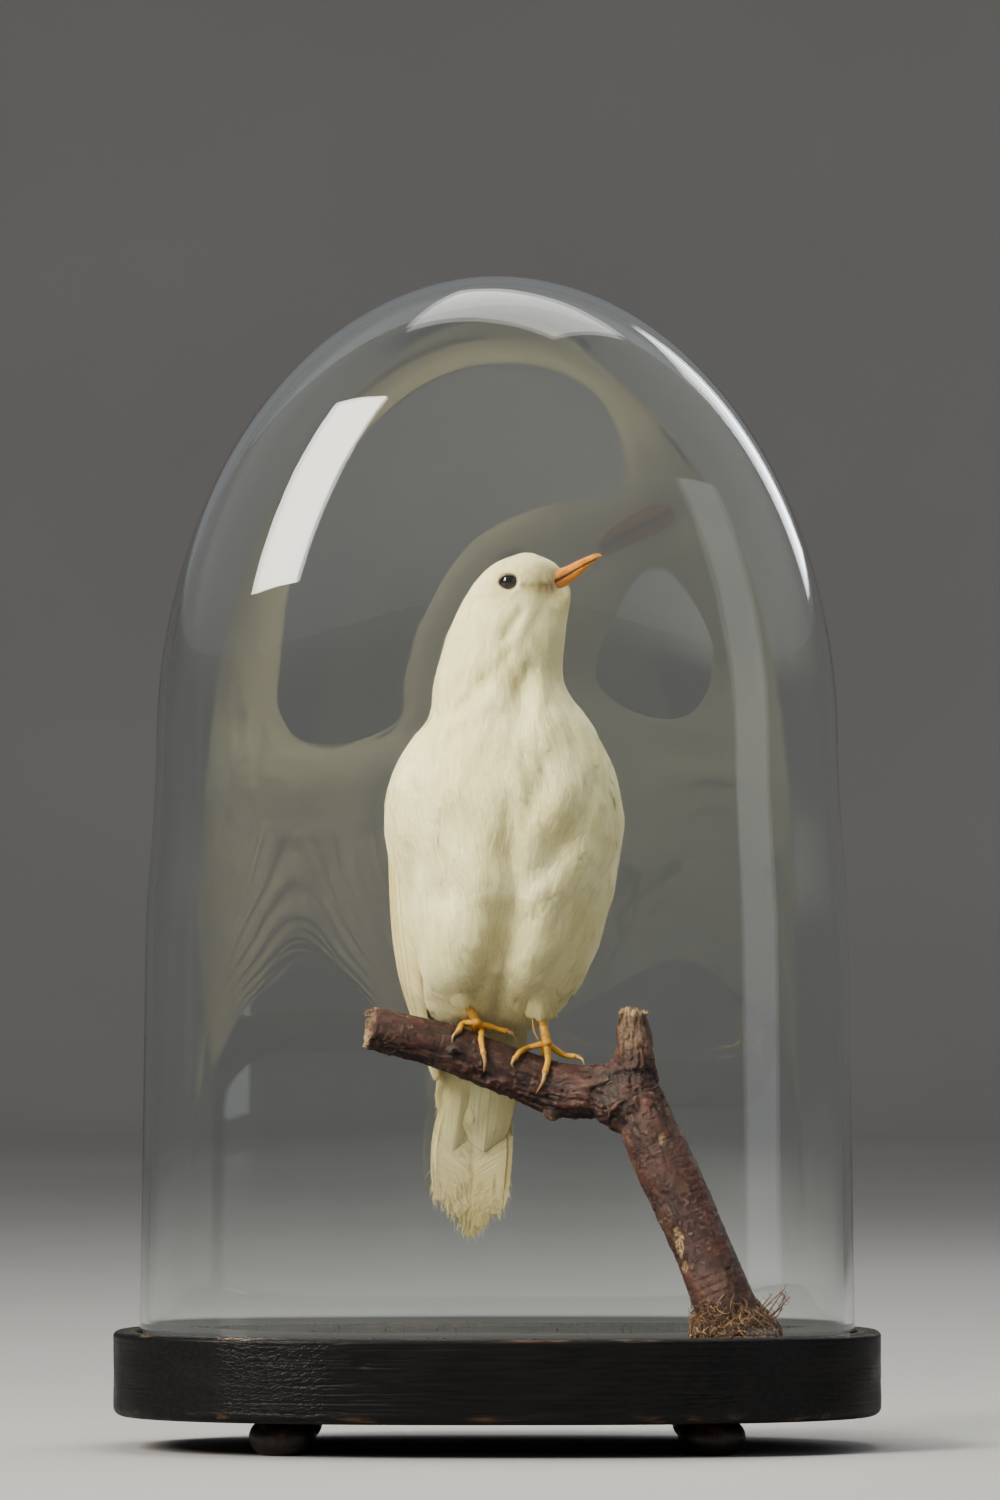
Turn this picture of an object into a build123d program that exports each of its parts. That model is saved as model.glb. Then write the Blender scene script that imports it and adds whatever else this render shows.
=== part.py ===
from build123d import *
import math
import os

# An oval glass shade on an ebonised wooden base, over a mounted white blackbird on a branch.
#
# Millimetres. The origin is at the centre of the footprint, on the surface that the feet stand on.
# +X is to the viewer's right, +Y is away from the viewer and +Z is up.

os.makedirs("parts", exist_ok=True)

# ---- Driving dimensions ----------------------------------------------------------------------

# Plan of the base and the shade: |x/a|^p + |y/b|^p = 1, an oval with a flattened front and back.
oval_power = 2.5

# Base board and its feet.
foot_height = 12.0
board_half_width = 138.0
board_half_depth = 83.0
board_thickness = 30.0
board_top_round = 1.8
board_bottom_round = 3.0
foot_spacing_x = 152.0
foot_spacing_y = 100.0
foot_sole_radius = 7.0
foot_bulge_radius = 12.0
foot_neck_radius = 8.5
spigot_radius = 4.0
spigot_length = 12.0

# Glass shade, and the groove in the board that it stands in.
glass_wall = 3.0
shade_half_width = 128.7
shade_half_depth = 72.0
shoulder_half_width = 122.8
shoulder_half_depth = 68.5
groove_depth = 3.0
groove_clearance = 1.2
shoulder_above_board = 211.0
shade_height_above_board = 380.0

# Screw that holds the branch, driven up through the board.
screw_shank_radius = 2.0
screw_head_radius = 4.2
screw_length = 44.0
screw_x = 82.0
screw_y = -26.5

# Wires inside the mount.
neck_wire_radius = 1.0
leg_wire_radius = 0.7
tail_wire_radius = 0.8
leg_wire_below_sole = 12.0
leg_wire_above_sole = 34.0
tail_wire_above_root = 24.0
tail_wire_below_root = 12.0
tail_wire_offset = 9.0

# Legs, toes and claws.
tarsus_radius = 1.7
toe_radius = 1.25
claw_base_radius = 0.8
claw_length = 5.0

# Head.
eye_radius = 3.3
bill_base_radius = 3.0
bill_tip_radius = 0.4
bill_length = 19.0
bill_pitch = 34.0

# Tail.
feathers_a_side = 6
tail_feather_length = 99.0
tail_feather_width = 14.4
tail_feather_thickness = 0.4
tail_feather_pitch = 0.5
tail_fan_step = 0.95

# Folded wings, as layers over the skin.
wing_thickness = 3.6
wing_gap = 0.3
wing_low = 178.0
wing_top = 258.0
covert_line = 222.0
wing_front = -14.0
wing_split = 12.0
wing_inner = 8.0
wing_reach = 60.0

# Clearance between the skin and the pieces that pass through it.
skin_clearance = 0.2

# A block wider than the whole object, for level cuts.
cut_width = 400.0

# ---- Derived heights -------------------------------------------------------------------------

board_top = foot_height + board_thickness
groove_floor = board_top - groove_depth
shoulder_z = board_top + shoulder_above_board
crown_rise = shade_height_above_board - shoulder_above_board

# ---- Shapes chosen by eye --------------------------------------------------------------------

# Rings of the bird's outline: height, centre x, centre y, half width, half depth.
plumage_rings = [
    (151.0, 3.0, 7.0, 12.0, 10.0),
    (156.0, 2.5, 6.0, 20.0, 19.0),
    (166.0, 0.5, 4.0, 28.5, 28.0),
    (182.0, 1.0, 2.0, 34.0, 33.0),
    (202.0, 3.0, 0.0, 38.5, 36.0),
    (224.0, 4.3, -1.0, 40.0, 36.0),
    (240.0, 4.5, -1.0, 38.0, 33.5),
    (256.0, 4.0, 0.0, 31.0, 27.0),
    (272.0, 0.8, 1.0, 22.5, 20.5),
    (290.0, 3.4, 0.5, 20.7, 16.0),
    (304.0, 7.0, -1.0, 18.9, 13.0),
    (314.0, 9.5, -1.0, 14.5, 11.0),
    (320.5, 10.8, -1.0, 6.0, 5.0),
]

# Rings of the bound wood-wool body inside the skin.
form_rings = [
    (166.0, 1.0, 3.0, 12.0, 12.0),
    (178.0, 1.5, 2.0, 25.0, 23.0),
    (200.0, 3.0, 0.0, 30.5, 28.0),
    (224.0, 4.0, -1.0, 31.5, 28.0),
    (242.0, 4.0, -1.0, 26.0, 22.0),
    (256.0, 3.5, 0.0, 14.0, 13.0),
]

# Centre line and radius of the side limb that the bird stands on, from its cut end to the fork.
limb_stations = [
    ((-46.1, -10.0, 151.1), 7.6),
    ((-20.5, -6.5, 144.6), 8.0),
    ((7.2, -4.5, 134.2), 8.5),
    ((22.7, -5.0, 128.8), 8.9),
    ((37.1, -8.0, 128.0), 9.5),
    ((50.0, -12.0, 129.5), 9.5),
]

# Centre line and radius of the stem, from its broken top through the fork to below the board's top.
stem_stations = [
    ((48.6, -11.5, 156.8), 5.6),
    ((49.6, -12.0, 143.0), 6.6),
    ((50.4, -12.6, 130.0), 10.4),
    ((53.5, -14.5, 117.0), 10.8),
    ((64.1, -18.5, 92.8), 10.4),
    ((74.9, -23.0, 67.6), 10.6),
    ((86.0, -27.5, 39.0), 11.2),
]

# Folded wing tips: height, distance of the centre from the midline, depth, half width, half depth.
wing_tip_rings = [
    (178.0, 37.0, 10.0, 1.9, 9.5),
    (166.0, 33.5, 15.0, 1.7, 8.5),
    (152.0, 28.0, 22.0, 1.3, 6.0),
    (140.0, 22.5, 26.0, 0.9, 3.2),
    (132.0, 18.5, 26.5, 0.6, 1.4),
]
wing_midline = [2.0, 1.5, 0.0, -2.5, -4.0]

# Tail root and tip, and the two feet: where the toes meet and where the shank goes into the belly.
tail_root = Vector(0, 18, 171)
tail_tip = Vector(-10, 46, 77)
right_foot = (Vector(-7.2, -3.5, 150.4), Vector(-11.2, 1.4, 162.2))
left_foot = (Vector(17.5, -4.0, 142.8), Vector(14.8, 3.0, 164.0))

# Toes, each by its route round the limb: distance along the limb and turn from its top towards the
# viewer, in degrees.
right_toes = [
    [(0, 0), (-4.0, 22), (-8.0, 44)],
    [(0, 0), (0.5, 36), (1.5, 76)],
    [(0, 0), (4.5, 12), (8.5, 18)],
    [(0, 0), (-1.0, -40), (-2.0, -78)],
]
left_toes = [
    [(0, 0), (-5.0, 26), (-10.0, 50)],
    [(0, 0), (-1.5, 40), (-3.0, 82)],
    [(0, 0), (5.5, 24), (11.0, 44)],
    [(0, 0), (1.0, -40), (2.0, -78)],
]


# ---- Helpers ---------------------------------------------------------------------------------


def half_oval(half_width, half_depth):
    """The right-hand half of the oval, from its front point to its back point."""
    steps = 20
    points = []
    for step in range(steps + 1):
        angle = math.pi * step / steps - math.pi / 2
        across = abs(math.cos(angle)) ** (2 / oval_power)
        along = abs(math.sin(angle)) ** (2 / oval_power)
        points.append((half_width * across, half_depth * math.copysign(along, angle)))
    points[0] = (0, -half_depth)
    points[-1] = (0, half_depth)
    return Spline(*points, tangents=[(1, 0), (-1, 0)])


def oval(half_width, half_depth, height):
    """A flat oval face at a height."""
    right = half_oval(half_width, half_depth)
    left = mirror(right, about=Plane.YZ)
    return Pos(0, 0, height) * make_face([right, left])


def oval_block(half_width, half_depth, low, high):
    """A straight oval block between two heights."""
    return extrude(oval(half_width, half_depth, low), high - low)


def crown(half_width, half_depth, rise):
    """The domed top: half an oval turned about its front-to-back axis, then stretched upwards."""
    right = half_oval(half_width, half_depth)
    closing = Line(right @ 1, right @ 0)
    turned = revolve(make_face([right, closing]), axis=Axis((0, 0, 0), (0, -1, 0)), revolution_arc=180)
    return Pos(0, 0, shoulder_z) * scale(turned, by=(1, 1, rise / half_width))


def ring_loft(rings, grow=0.0):
    """A smooth body through level elliptical rings, all grown by the same amount."""
    faces = []
    for height, centre_x, centre_y, half_width, half_depth in rings:
        place = Pos(centre_x, centre_y, height)
        faces.append(place * make_face(Ellipse(half_width + grow, half_depth + grow).edges()))
    return loft(faces)


def tapered_rod(stations):
    """A smooth rod through round sections square to its centre line."""
    faces = []
    last = len(stations) - 1
    for index, (centre, radius) in enumerate(stations):
        before = Vector(*stations[max(index - 1, 0)][0])
        after = Vector(*stations[min(index + 1, last)][0])
        section = Plane(origin=centre, x_dir=(0, 1, 0), z_dir=after - before)
        faces.append(section * Circle(radius))
    return loft(faces)


def rod(start, end, radius, end_radius=None):
    """A straight round rod, or a cone, between two points."""
    length = (end - start).length
    section = Plane(origin=start, z_dir=end - start)
    if end_radius is None:
        solid = Cylinder(radius, length, align=(Align.CENTER, Align.CENTER, Align.MIN))
    else:
        solid = Cone(radius, end_radius, length, align=(Align.CENTER, Align.CENTER, Align.MIN))
    return section * solid


def ball(centre, radius):
    """A ball about a point."""
    return Pos(*centre) * Sphere(radius)


def below(height):
    """A block that fills everything from the floor up to a height."""
    return Pos(0, 0, height / 2) * Box(cut_width, cut_width, height)


def save(shape, node):
    """Write one sub-part."""
    export_step(shape, f"parts/{node}.step")


# ---- Base board and feet ---------------------------------------------------------------------


def foot_profile():
    """Half section of a turned bun foot with its spigot."""
    sole = Line((0, 0), (foot_sole_radius, 0))
    bulge_height = foot_height * 0.48
    bun = ThreePointArc(
        (foot_sole_radius, 0),
        (foot_bulge_radius, bulge_height),
        (foot_neck_radius, foot_height),
    )
    top = foot_height + spigot_length
    spigot = Polyline(
        (foot_neck_radius, foot_height),
        (spigot_radius, foot_height),
        (spigot_radius, top - 1),
        (spigot_radius - 1, top),
        (0, top),
        (0, 0),
    )
    return make_face([sole, bun, spigot])


foot = revolve(Plane.XZ * foot_profile(), axis=Axis.Z)
foot_places = {
    "foot_front_left": (-foot_spacing_x / 2, -foot_spacing_y / 2),
    "foot_front_right": (foot_spacing_x / 2, -foot_spacing_y / 2),
    "foot_rear_left": (-foot_spacing_x / 2, foot_spacing_y / 2),
    "foot_rear_right": (foot_spacing_x / 2, foot_spacing_y / 2),
}

screw_profile = make_face(
    Polyline(
        (0, foot_height),
        (screw_head_radius, foot_height),
        (screw_shank_radius, foot_height + screw_head_radius - screw_shank_radius),
        (screw_shank_radius, foot_height + screw_length - 4),
        (0, foot_height + screw_length),
        (0, foot_height),
    )
)
branch_screw = Pos(screw_x, screw_y, 0) * revolve(Plane.XZ * screw_profile, axis=Axis.Z)

base_board = oval_block(board_half_width, board_half_depth, foot_height, board_top)
base_board = fillet(base_board.faces().sort_by(Axis.Z)[-1].edges(), board_top_round)
base_board = fillet(base_board.faces().sort_by(Axis.Z)[0].edges(), board_bottom_round)
groove_outside = oval_block(
    shade_half_width + groove_clearance,
    shade_half_depth + groove_clearance,
    groove_floor,
    board_top + 1,
)
groove_inside = oval_block(
    shade_half_width - glass_wall - groove_clearance,
    shade_half_depth - glass_wall - groove_clearance,
    groove_floor,
    board_top + 1,
)
base_board -= groove_outside - groove_inside
for node, (x, y) in foot_places.items():
    placed_foot = Pos(x, y, 0) * foot
    base_board -= placed_foot
    save(placed_foot, node)
base_board -= branch_screw
save(base_board, "base_board")
save(branch_screw, "branch_screw")

# ---- Glass shade -----------------------------------------------------------------------------


def shade_body(wall):
    """The tapered oval wall, solid, drawn in from the outside by a wall thickness."""
    rim = oval(shade_half_width - wall, shade_half_depth - wall, groove_floor)
    shoulder = oval(shoulder_half_width - wall, shoulder_half_depth - wall, shoulder_z)
    return loft([rim, shoulder], ruled=True)


wall_shell = shade_body(0) - shade_body(glass_wall)
crown_shell = crown(shoulder_half_width, shoulder_half_depth, crown_rise) - crown(
    shoulder_half_width - glass_wall,
    shoulder_half_depth - glass_wall,
    crown_rise - glass_wall,
)
glass_dome = wall_shell + crown_shell
save(glass_dome, "glass_dome")

# ---- Branch and moss -------------------------------------------------------------------------

branch = tapered_rod(stem_stations) + tapered_rod(limb_stations)
branch = branch - below(board_top)

moss_centre = (85.0, -27.0, board_top)
moss_tuft = Pos(*moss_centre) * scale(Sphere(1), by=(16.0, 14.0, 14.0))
moss_tuft -= below(board_top)
moss_tuft -= branch

# ---- Legs, toes, claws and leg wires ---------------------------------------------------------


def limb_frame(x):
    """Centre and radius of the limb at an x, with its directions along and upwards."""
    for (start, start_radius), (end, end_radius) in zip(limb_stations, limb_stations[1:]):
        if start[0] <= x <= end[0]:
            share = (x - start[0]) / (end[0] - start[0])
            centre = Vector(*start) + (Vector(*end) - Vector(*start)) * share
            along = (Vector(*end) - Vector(*start)).normalized()
            up = (Vector(0, 0, 1) - along * along.Z).normalized()
            return centre, start_radius + (end_radius - start_radius) * share, along, up
    raise ValueError("x is off the limb")


def toe_point(foot_x, distance, turn):
    """A point on the limb's skin, raised by the toe's radius."""
    _, _, foot_along, _ = limb_frame(foot_x)
    middle, radius, along, up = limb_frame(foot_x + distance * foot_along.X)
    viewer = along.cross(up)
    if viewer.Y > 0:
        viewer = viewer * -1
    reach = radius + toe_radius + 0.4
    angle = math.radians(turn)
    return middle + up * (reach * math.cos(angle)) + viewer * (reach * math.sin(angle))


def leg(foot, toes):
    """One leg with its toes, and its claws."""
    sole, knee = foot
    flesh = rod(sole, knee, tarsus_radius) + ball(sole, tarsus_radius + 0.5)
    claws = []
    for toe in toes:
        path = [sole] + [toe_point(sole.X, distance, turn) for distance, turn in toe[1:]]
        for start, end in zip(path, path[1:]):
            flesh += rod(start, end, toe_radius) + ball(end, toe_radius)
        last_distance, last_turn = toe[-1]
        before_distance, before_turn = toe[-2]
        run = 0.4
        tip = toe_point(
            sole.X,
            last_distance + (last_distance - before_distance) * run,
            last_turn + (last_turn - before_turn) * run,
        )
        base = path[-1] + (tip - path[-1]).normalized() * (toe_radius - 0.3)
        point = base + (tip - path[-1]).normalized() * claw_length
        claws.append(rod(base, point, claw_base_radius, 0.15))
    return flesh, claws


def leg_wire(foot):
    """The wire through one leg, from inside the limb to inside the body form."""
    sole, knee = foot
    direction = (knee - sole).normalized()
    low = sole - direction * leg_wire_below_sole
    high = sole + direction * leg_wire_above_sole
    return rod(low, high, leg_wire_radius)


leg_right, claws_right = leg(right_foot, right_toes)
leg_left, claws_left = leg(left_foot, left_toes)
leg_wire_right = leg_wire(right_foot)
leg_wire_left = leg_wire(left_foot)
leg_right = leg_right - branch - leg_wire_right
leg_left = leg_left - branch - leg_wire_left
claws_right = [claw - branch - leg_right for claw in claws_right]
claws_left = [claw - branch - leg_left for claw in claws_left]
save(leg_right, "leg_right")
save(leg_left, "leg_left")
save(Compound(children=claws_right), "claws_right")
save(Compound(children=claws_left), "claws_left")
save(leg_wire_right, "leg_wire_right")
save(leg_wire_left, "leg_wire_left")
moss_tuft -= branch_screw
branch = branch - leg_wire_right - leg_wire_left - branch_screw
save(branch, "branch")
save(moss_tuft, "moss_tuft")

# ---- Tail ------------------------------------------------------------------------------------

tail_along = (tail_tip - tail_root).normalized()
tail_across = (Vector(1, 0, 0) - tail_along * tail_along.X).normalized()
tail_up = tail_across.cross(tail_along)


def tail_feather_face():
    """Outline of one tail feather, quill at the origin and tip along +Y."""
    half = tail_feather_width / 2
    length = tail_feather_length
    edge = Spline(
        (1, 12),
        (half, length * 0.38),
        (half, length * 0.82),
        (0, length),
        tangents=[(0.3, 1), (-1, 0.35)],
    )
    quill = Line((1, 0), (1, 12))
    root = Line((-1, 0), (1, 0))
    right = [quill, edge]
    left = [mirror(piece, about=Plane.YZ) for piece in right]
    return make_face([root, *right, *left])


tail_nodes = {}
for rank in range(1, feathers_a_side + 1):
    for side, sign in (("left", 1), ("right", -1)):
        layer = 2 * (rank - 1) + (0 if side == "left" else 1)
        lift = -layer * tail_feather_pitch
        lie = Plane(origin=tail_root + tail_up * lift, x_dir=tail_across, z_dir=tail_up)
        fan = Rot(0, 0, -sign * (rank - 0.5) * tail_fan_step)
        feather = lie * fan * extrude(tail_feather_face(), tail_feather_thickness)
        tail_nodes[f"tail_feather_{side}_{rank}"] = feather
for node, feather in tail_nodes.items():
    save(feather, node)

tail_wire_root = tail_root - tail_up * tail_wire_offset
tail_wire = rod(
    tail_wire_root - tail_along * tail_wire_above_root,
    tail_wire_root + tail_along * tail_wire_below_root,
    tail_wire_radius,
)
save(tail_wire, "tail_wire")

# The slot in the skin and the body form that takes the twelve quills.
tail_slot_height = 2 * feathers_a_side * tail_feather_pitch + 2 * skin_clearance
tail_slot_place = Plane(
    origin=tail_root + tail_up * (tail_feather_pitch + skin_clearance),
    x_dir=tail_across,
    z_dir=tail_up * -1,
)
tail_slot = tail_slot_place * Box(
    tail_feather_width + 6,
    2 * tail_feather_length,
    tail_slot_height,
    align=(Align.CENTER, Align.CENTER, Align.MIN),
)
tail_slot &= below(tail_root.Z + 1)

# ---- Head, neck and body form ----------------------------------------------------------------

skull_centre = Vector(7, -1, 308)
neck_foot = Vector(3.5, 0, 256)
neck_head = Vector(5.5, -0.6, 299)
wrap_foot_radius = 12.0
wrap_head_radius = 7.5
skull_half_sizes = (12.5, 8.0, 9.0)

eye_right = ball((4.0, -10.0, 311.5), eye_radius)
eye_left = ball((4.0, 8.0, 311.5), eye_radius)

bill_root = Vector(20.6, -1, 310.0)
bill_place = Pos(*bill_root) * Rot(0, -bill_pitch, 0)
bill_cone = bill_place * Rot(0, 90, 0) * Cone(
    bill_base_radius, bill_tip_radius, bill_length, align=(Align.CENTER, Align.CENTER, Align.MIN)
)
upper_half = bill_place * Pos(bill_length / 2, 0, 10) * Box(bill_length + 2, 20, 20)
lower_half = bill_place * Pos(bill_length / 2 - 1, 0, -10) * Box(bill_length - 1, 20, 20)
bill_upper = bill_cone & upper_half
bill_lower = bill_cone & lower_half

neck_wire = rod(Vector(3.0, 0, 238), Vector(6.2, -0.8, 306), neck_wire_radius)
neck_wrap = rod(neck_foot, neck_head, wrap_foot_radius, wrap_head_radius)
skull = Pos(*skull_centre) * scale(Sphere(1), by=skull_half_sizes)
body_form = ring_loft(form_rings)

cavity = ring_loft(form_rings, skin_clearance)
cavity += rod(neck_foot, neck_head, wrap_foot_radius + skin_clearance, wrap_head_radius + skin_clearance)
skull_room = tuple(half + skin_clearance for half in skull_half_sizes)
cavity += Pos(*skull_centre) * scale(Sphere(1), by=skull_room)

skull = skull - eye_left - eye_right - neck_wire - bill_cone
neck_wrap = neck_wrap - skull - neck_wire - body_form
body_form = body_form - neck_wire - leg_wire_left - leg_wire_right - tail_wire - tail_slot
save(eye_left, "eye_left")
save(eye_right, "eye_right")
save(bill_upper, "bill_upper")
save(bill_lower, "bill_lower")
save(neck_wire, "neck_wire")
save(neck_wrap, "neck_wrap")
save(skull, "skull")
save(body_form, "body_form")

# ---- Skin with its plumage -------------------------------------------------------------------

plumage_outside = ring_loft(plumage_rings)
plumage = plumage_outside - cavity
for sole, knee in (right_foot, left_foot):
    direction = (knee - sole).normalized()
    reach = leg_wire_above_sole + 2
    plumage -= rod(sole, sole + direction * reach, tarsus_radius + skin_clearance)
plumage -= tail_wire
plumage -= tail_slot
plumage = plumage - eye_left - eye_right - bill_cone
save(plumage, "plumage")

# ---- Folded wings ----------------------------------------------------------------------------

wing_layer = ring_loft(plumage_rings, wing_gap + wing_thickness) - ring_loft(plumage_rings, wing_gap)
widest_ring = max(plumage_rings, key=lambda ring: ring[3])


def wing_zone(side, front, back, low, high):
    """A block on one side of the bird, between two depths and two heights."""
    middle = widest_ring[1] + side * (wing_inner + wing_reach / 2)
    size = Box(wing_reach, back - front, high - low)
    return Pos(middle, (front + back) / 2, (low + high) / 2) * size


def wing_tip(side):
    """The ends of the folded primaries, running down and back past the body."""
    rings = []
    for (height, out, depth, half_width, half_depth), midline in zip(wing_tip_rings, wing_midline):
        rings.append((height, midline + side * out, depth, half_width, half_depth))
    return ring_loft(rings) - ring_loft(plumage_rings, wing_gap)


for side_name, side in (("right", -1), ("left", 1)):
    coverts = wing_layer & wing_zone(side, wing_front, wing_reach, covert_line, wing_top)
    secondaries = wing_layer & wing_zone(side, wing_split, wing_reach, wing_low, covert_line)
    primaries = wing_layer & wing_zone(side, wing_front, wing_split, wing_low, covert_line)
    primaries += wing_tip(side)
    save(coverts, f"wing_coverts_{side_name}")
    save(secondaries, f"wing_secondaries_{side_name}")
    save(primaries, f"wing_primaries_{side_name}")
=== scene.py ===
import math

import bpy
import numpy as np
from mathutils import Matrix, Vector
from mathutils.bvhtree import BVHTree
from mathutils.kdtree import KDTree


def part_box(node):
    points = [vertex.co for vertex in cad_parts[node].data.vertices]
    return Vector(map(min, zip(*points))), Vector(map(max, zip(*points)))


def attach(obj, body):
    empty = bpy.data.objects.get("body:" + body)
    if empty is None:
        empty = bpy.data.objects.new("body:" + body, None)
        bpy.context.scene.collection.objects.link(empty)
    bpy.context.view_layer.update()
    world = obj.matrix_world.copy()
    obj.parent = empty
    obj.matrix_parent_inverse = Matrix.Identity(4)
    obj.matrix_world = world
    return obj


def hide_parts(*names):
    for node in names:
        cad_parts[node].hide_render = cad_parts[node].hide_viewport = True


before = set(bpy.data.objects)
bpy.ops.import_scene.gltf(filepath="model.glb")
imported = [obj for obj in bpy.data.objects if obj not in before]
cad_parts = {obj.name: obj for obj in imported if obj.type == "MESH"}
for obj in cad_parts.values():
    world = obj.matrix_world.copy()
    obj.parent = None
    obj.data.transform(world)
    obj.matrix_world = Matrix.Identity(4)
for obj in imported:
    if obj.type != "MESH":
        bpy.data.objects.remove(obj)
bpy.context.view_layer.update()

# The looks of an oval glass shade over a mounted white blackbird. Metres, in the CAD's frame:
# +X to the viewer's right, +Y away from the viewer, +Z up. Shapes given below are in
# millimetres and are scaled by MM as they become meshes.

MM = 0.001
STAND = "stand"
SHADE = "shade"
rng = np.random.default_rng(11)


# ---- Numbers and noise -----------------------------------------------------------------------


def smooth_step(value, low, high):
    """0 below low, 1 above high, and a smooth ramp between."""
    share = np.clip((np.asarray(value, float) - low) / (high - low), 0, 1)
    return share * share * (3 - 2 * share)


def bell(gap, width):
    """1 at no gap, falling off smoothly over the width."""
    return np.exp(-((gap / width) ** 2))


def full_turn(count):
    """Even angles once round, in radians."""
    return np.linspace(0, 2 * math.pi, count, endpoint=False)


def lattice(cells, seed):
    """A repeatable number from -1 to 1 for each whole-number cell."""
    cells = cells.astype(np.int64).astype(np.uint64)
    key = cells[..., 0] * np.uint64(73856093)
    key = key ^ (cells[..., 1] * np.uint64(19349663)) ^ (cells[..., 2] * np.uint64(83492791))
    key = key ^ np.uint64(seed * 2654435761 % 4294967296)
    key = (key ^ (key >> np.uint64(15))) * np.uint64(2246822519)
    key = (key ^ (key >> np.uint64(13))) * np.uint64(3266489917)
    return ((key >> np.uint64(16)) & np.uint64(65535)).astype(float) / 32767.5 - 1


def noise(points, size, seed=0):
    """Smooth noise from about -1 to 1 with features of the given size."""
    place = np.asarray(points, float) / np.asarray(size, float)
    base = np.floor(place)
    part = place - base
    part = part * part * (3 - 2 * part)
    total = np.zeros(place.shape[:-1])
    for corner in np.ndindex(2, 2, 2):
        weight = np.ones(place.shape[:-1])
        for axis in range(3):
            weight = weight * (part[..., axis] if corner[axis] else 1 - part[..., axis])
        total += weight * lattice(base + np.array(corner), seed)
    return total


def fractal(points, size, seed=0, octaves=3):
    """Noise with finer noise on it."""
    total = 0
    for octave in range(octaves):
        total = total + noise(points, np.asarray(size, float) / 2**octave, seed + octave) / 2**octave
    return total


def unit(vectors):
    """Vectors brought to length 1."""
    length = np.linalg.norm(vectors, axis=-1, keepdims=True)
    return vectors / np.maximum(length, 1e-9)


def smooth_curve(at, keys, values, passes=3):
    """A curve through key values with its corners rounded."""
    window = 13
    fine = np.linspace(keys[0], keys[-1], 400)
    curve = np.interp(fine, keys, values)
    for _ in range(passes):
        padded = np.pad(curve, window // 2, mode="reflect", reflect_type="odd")
        curve = np.convolve(padded, np.ones(window) / window, mode="valid")
    return np.interp(at, fine, curve)


# ---- Meshes ----------------------------------------------------------------------------------


def add_mesh(name, points, faces, material, uv=None, values=None, body=STAND, slot=None):
    """A smooth-shaded mesh from points in millimetres; faces are arrays of quads or triangles."""
    mesh = bpy.data.meshes.new(name)
    points = np.asarray(points, float).reshape(-1, 3) * MM
    faces = [np.asarray(group, np.int32) for group in faces if len(group)]
    corners = np.concatenate([group.ravel() for group in faces])
    sizes = np.concatenate([np.full(len(group), group.shape[1]) for group in faces])
    starts = np.concatenate([[0], np.cumsum(sizes)[:-1]]).astype(np.int32)
    mesh.vertices.add(len(points))
    mesh.vertices.foreach_set("co", points.ravel())
    mesh.loops.add(len(corners))
    mesh.loops.foreach_set("vertex_index", corners)
    mesh.polygons.add(len(sizes))
    mesh.polygons.foreach_set("loop_start", starts)
    mesh.polygons.foreach_set("use_smooth", np.ones(len(sizes), bool))
    mesh.update(calc_edges=True)
    if uv is not None:
        layer = mesh.uv_layers.new(name="along")
        layer.data.foreach_set("uv", np.asarray(uv, float)[corners].ravel())
    for key, numbers in (values or {}).items():
        attribute = mesh.attributes.new(key, "FLOAT", "POINT")
        attribute.data.foreach_set("value", np.asarray(numbers, float))
    mesh.validate()
    mesh.materials.append(material)
    piece = bpy.data.objects.new(name, mesh)
    bpy.context.scene.collection.objects.link(piece)
    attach(piece, body)
    return piece


def grid_faces(rows, columns, wrap=False):
    """Quads of a grid of points stored row by row."""
    row = np.arange(rows - 1)[:, None] * columns
    column = np.arange(columns if wrap else columns - 1)[None, :]
    after = (column + 1) % columns
    quads = np.stack([row + column, row + after, row + columns + after, row + columns + column], -1)
    return quads.reshape(-1, 4)


def end_fans(rows, columns):
    """Triangles that close a wrapped grid at both ends, to the two points that follow the grid's own."""
    around = np.arange(columns)
    after = (around + 1) % columns
    last = (rows - 1) * columns
    return np.concatenate([
        np.stack([after, around, np.full(columns, rows * columns)], 1),
        np.stack([last + around, last + after, np.full(columns, rows * columns + 1)], 1),
    ])


class Batch:
    """Points, faces and values gathered from many small pieces of one mesh."""

    def __init__(self):
        self.points, self.quads, self.triangles, self.uv, self.values = [], [], [], [], {}
        self.count = 0

    def add(self, points, quads=(), triangles=(), uv=None, **values):
        points = np.asarray(points, float).reshape(-1, 3)
        self.points.append(points)
        if len(quads):
            self.quads.append(np.asarray(quads) + self.count)
        if len(triangles):
            self.triangles.append(np.asarray(triangles) + self.count)
        self.uv.append(np.zeros((len(points), 2)) if uv is None else np.asarray(uv, float))
        for key, numbers in values.items():
            self.values.setdefault(key, []).append(np.broadcast_to(numbers, len(points)))
        self.count += len(points)

    def build(self, name, material, **kind):
        faces = []
        if self.quads:
            faces.append(np.concatenate(self.quads))
        if self.triangles:
            faces.append(np.concatenate(self.triangles))
        values = {key: np.concatenate(parts) for key, parts in self.values.items()}
        points = np.concatenate(self.points)
        return add_mesh(name, points, faces, material, np.concatenate(self.uv), values, **kind)


def frames_along(path, up=(0, 0, 1)):
    """Directions along, across and out of a path, without sudden twists."""
    along = unit(np.gradient(path, axis=0))
    side = np.cross(along[0], np.asarray(up, float))
    if np.linalg.norm(side) < 1e-3:
        side = np.cross(along[0], (1.0, 0, 0))
    sides = []
    for direction in along:
        side = side - direction * np.dot(side, direction)
        side = side / np.linalg.norm(side)
        sides.append(side)
    sides = np.array(sides)
    return along, sides, np.cross(sides, along)


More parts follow.
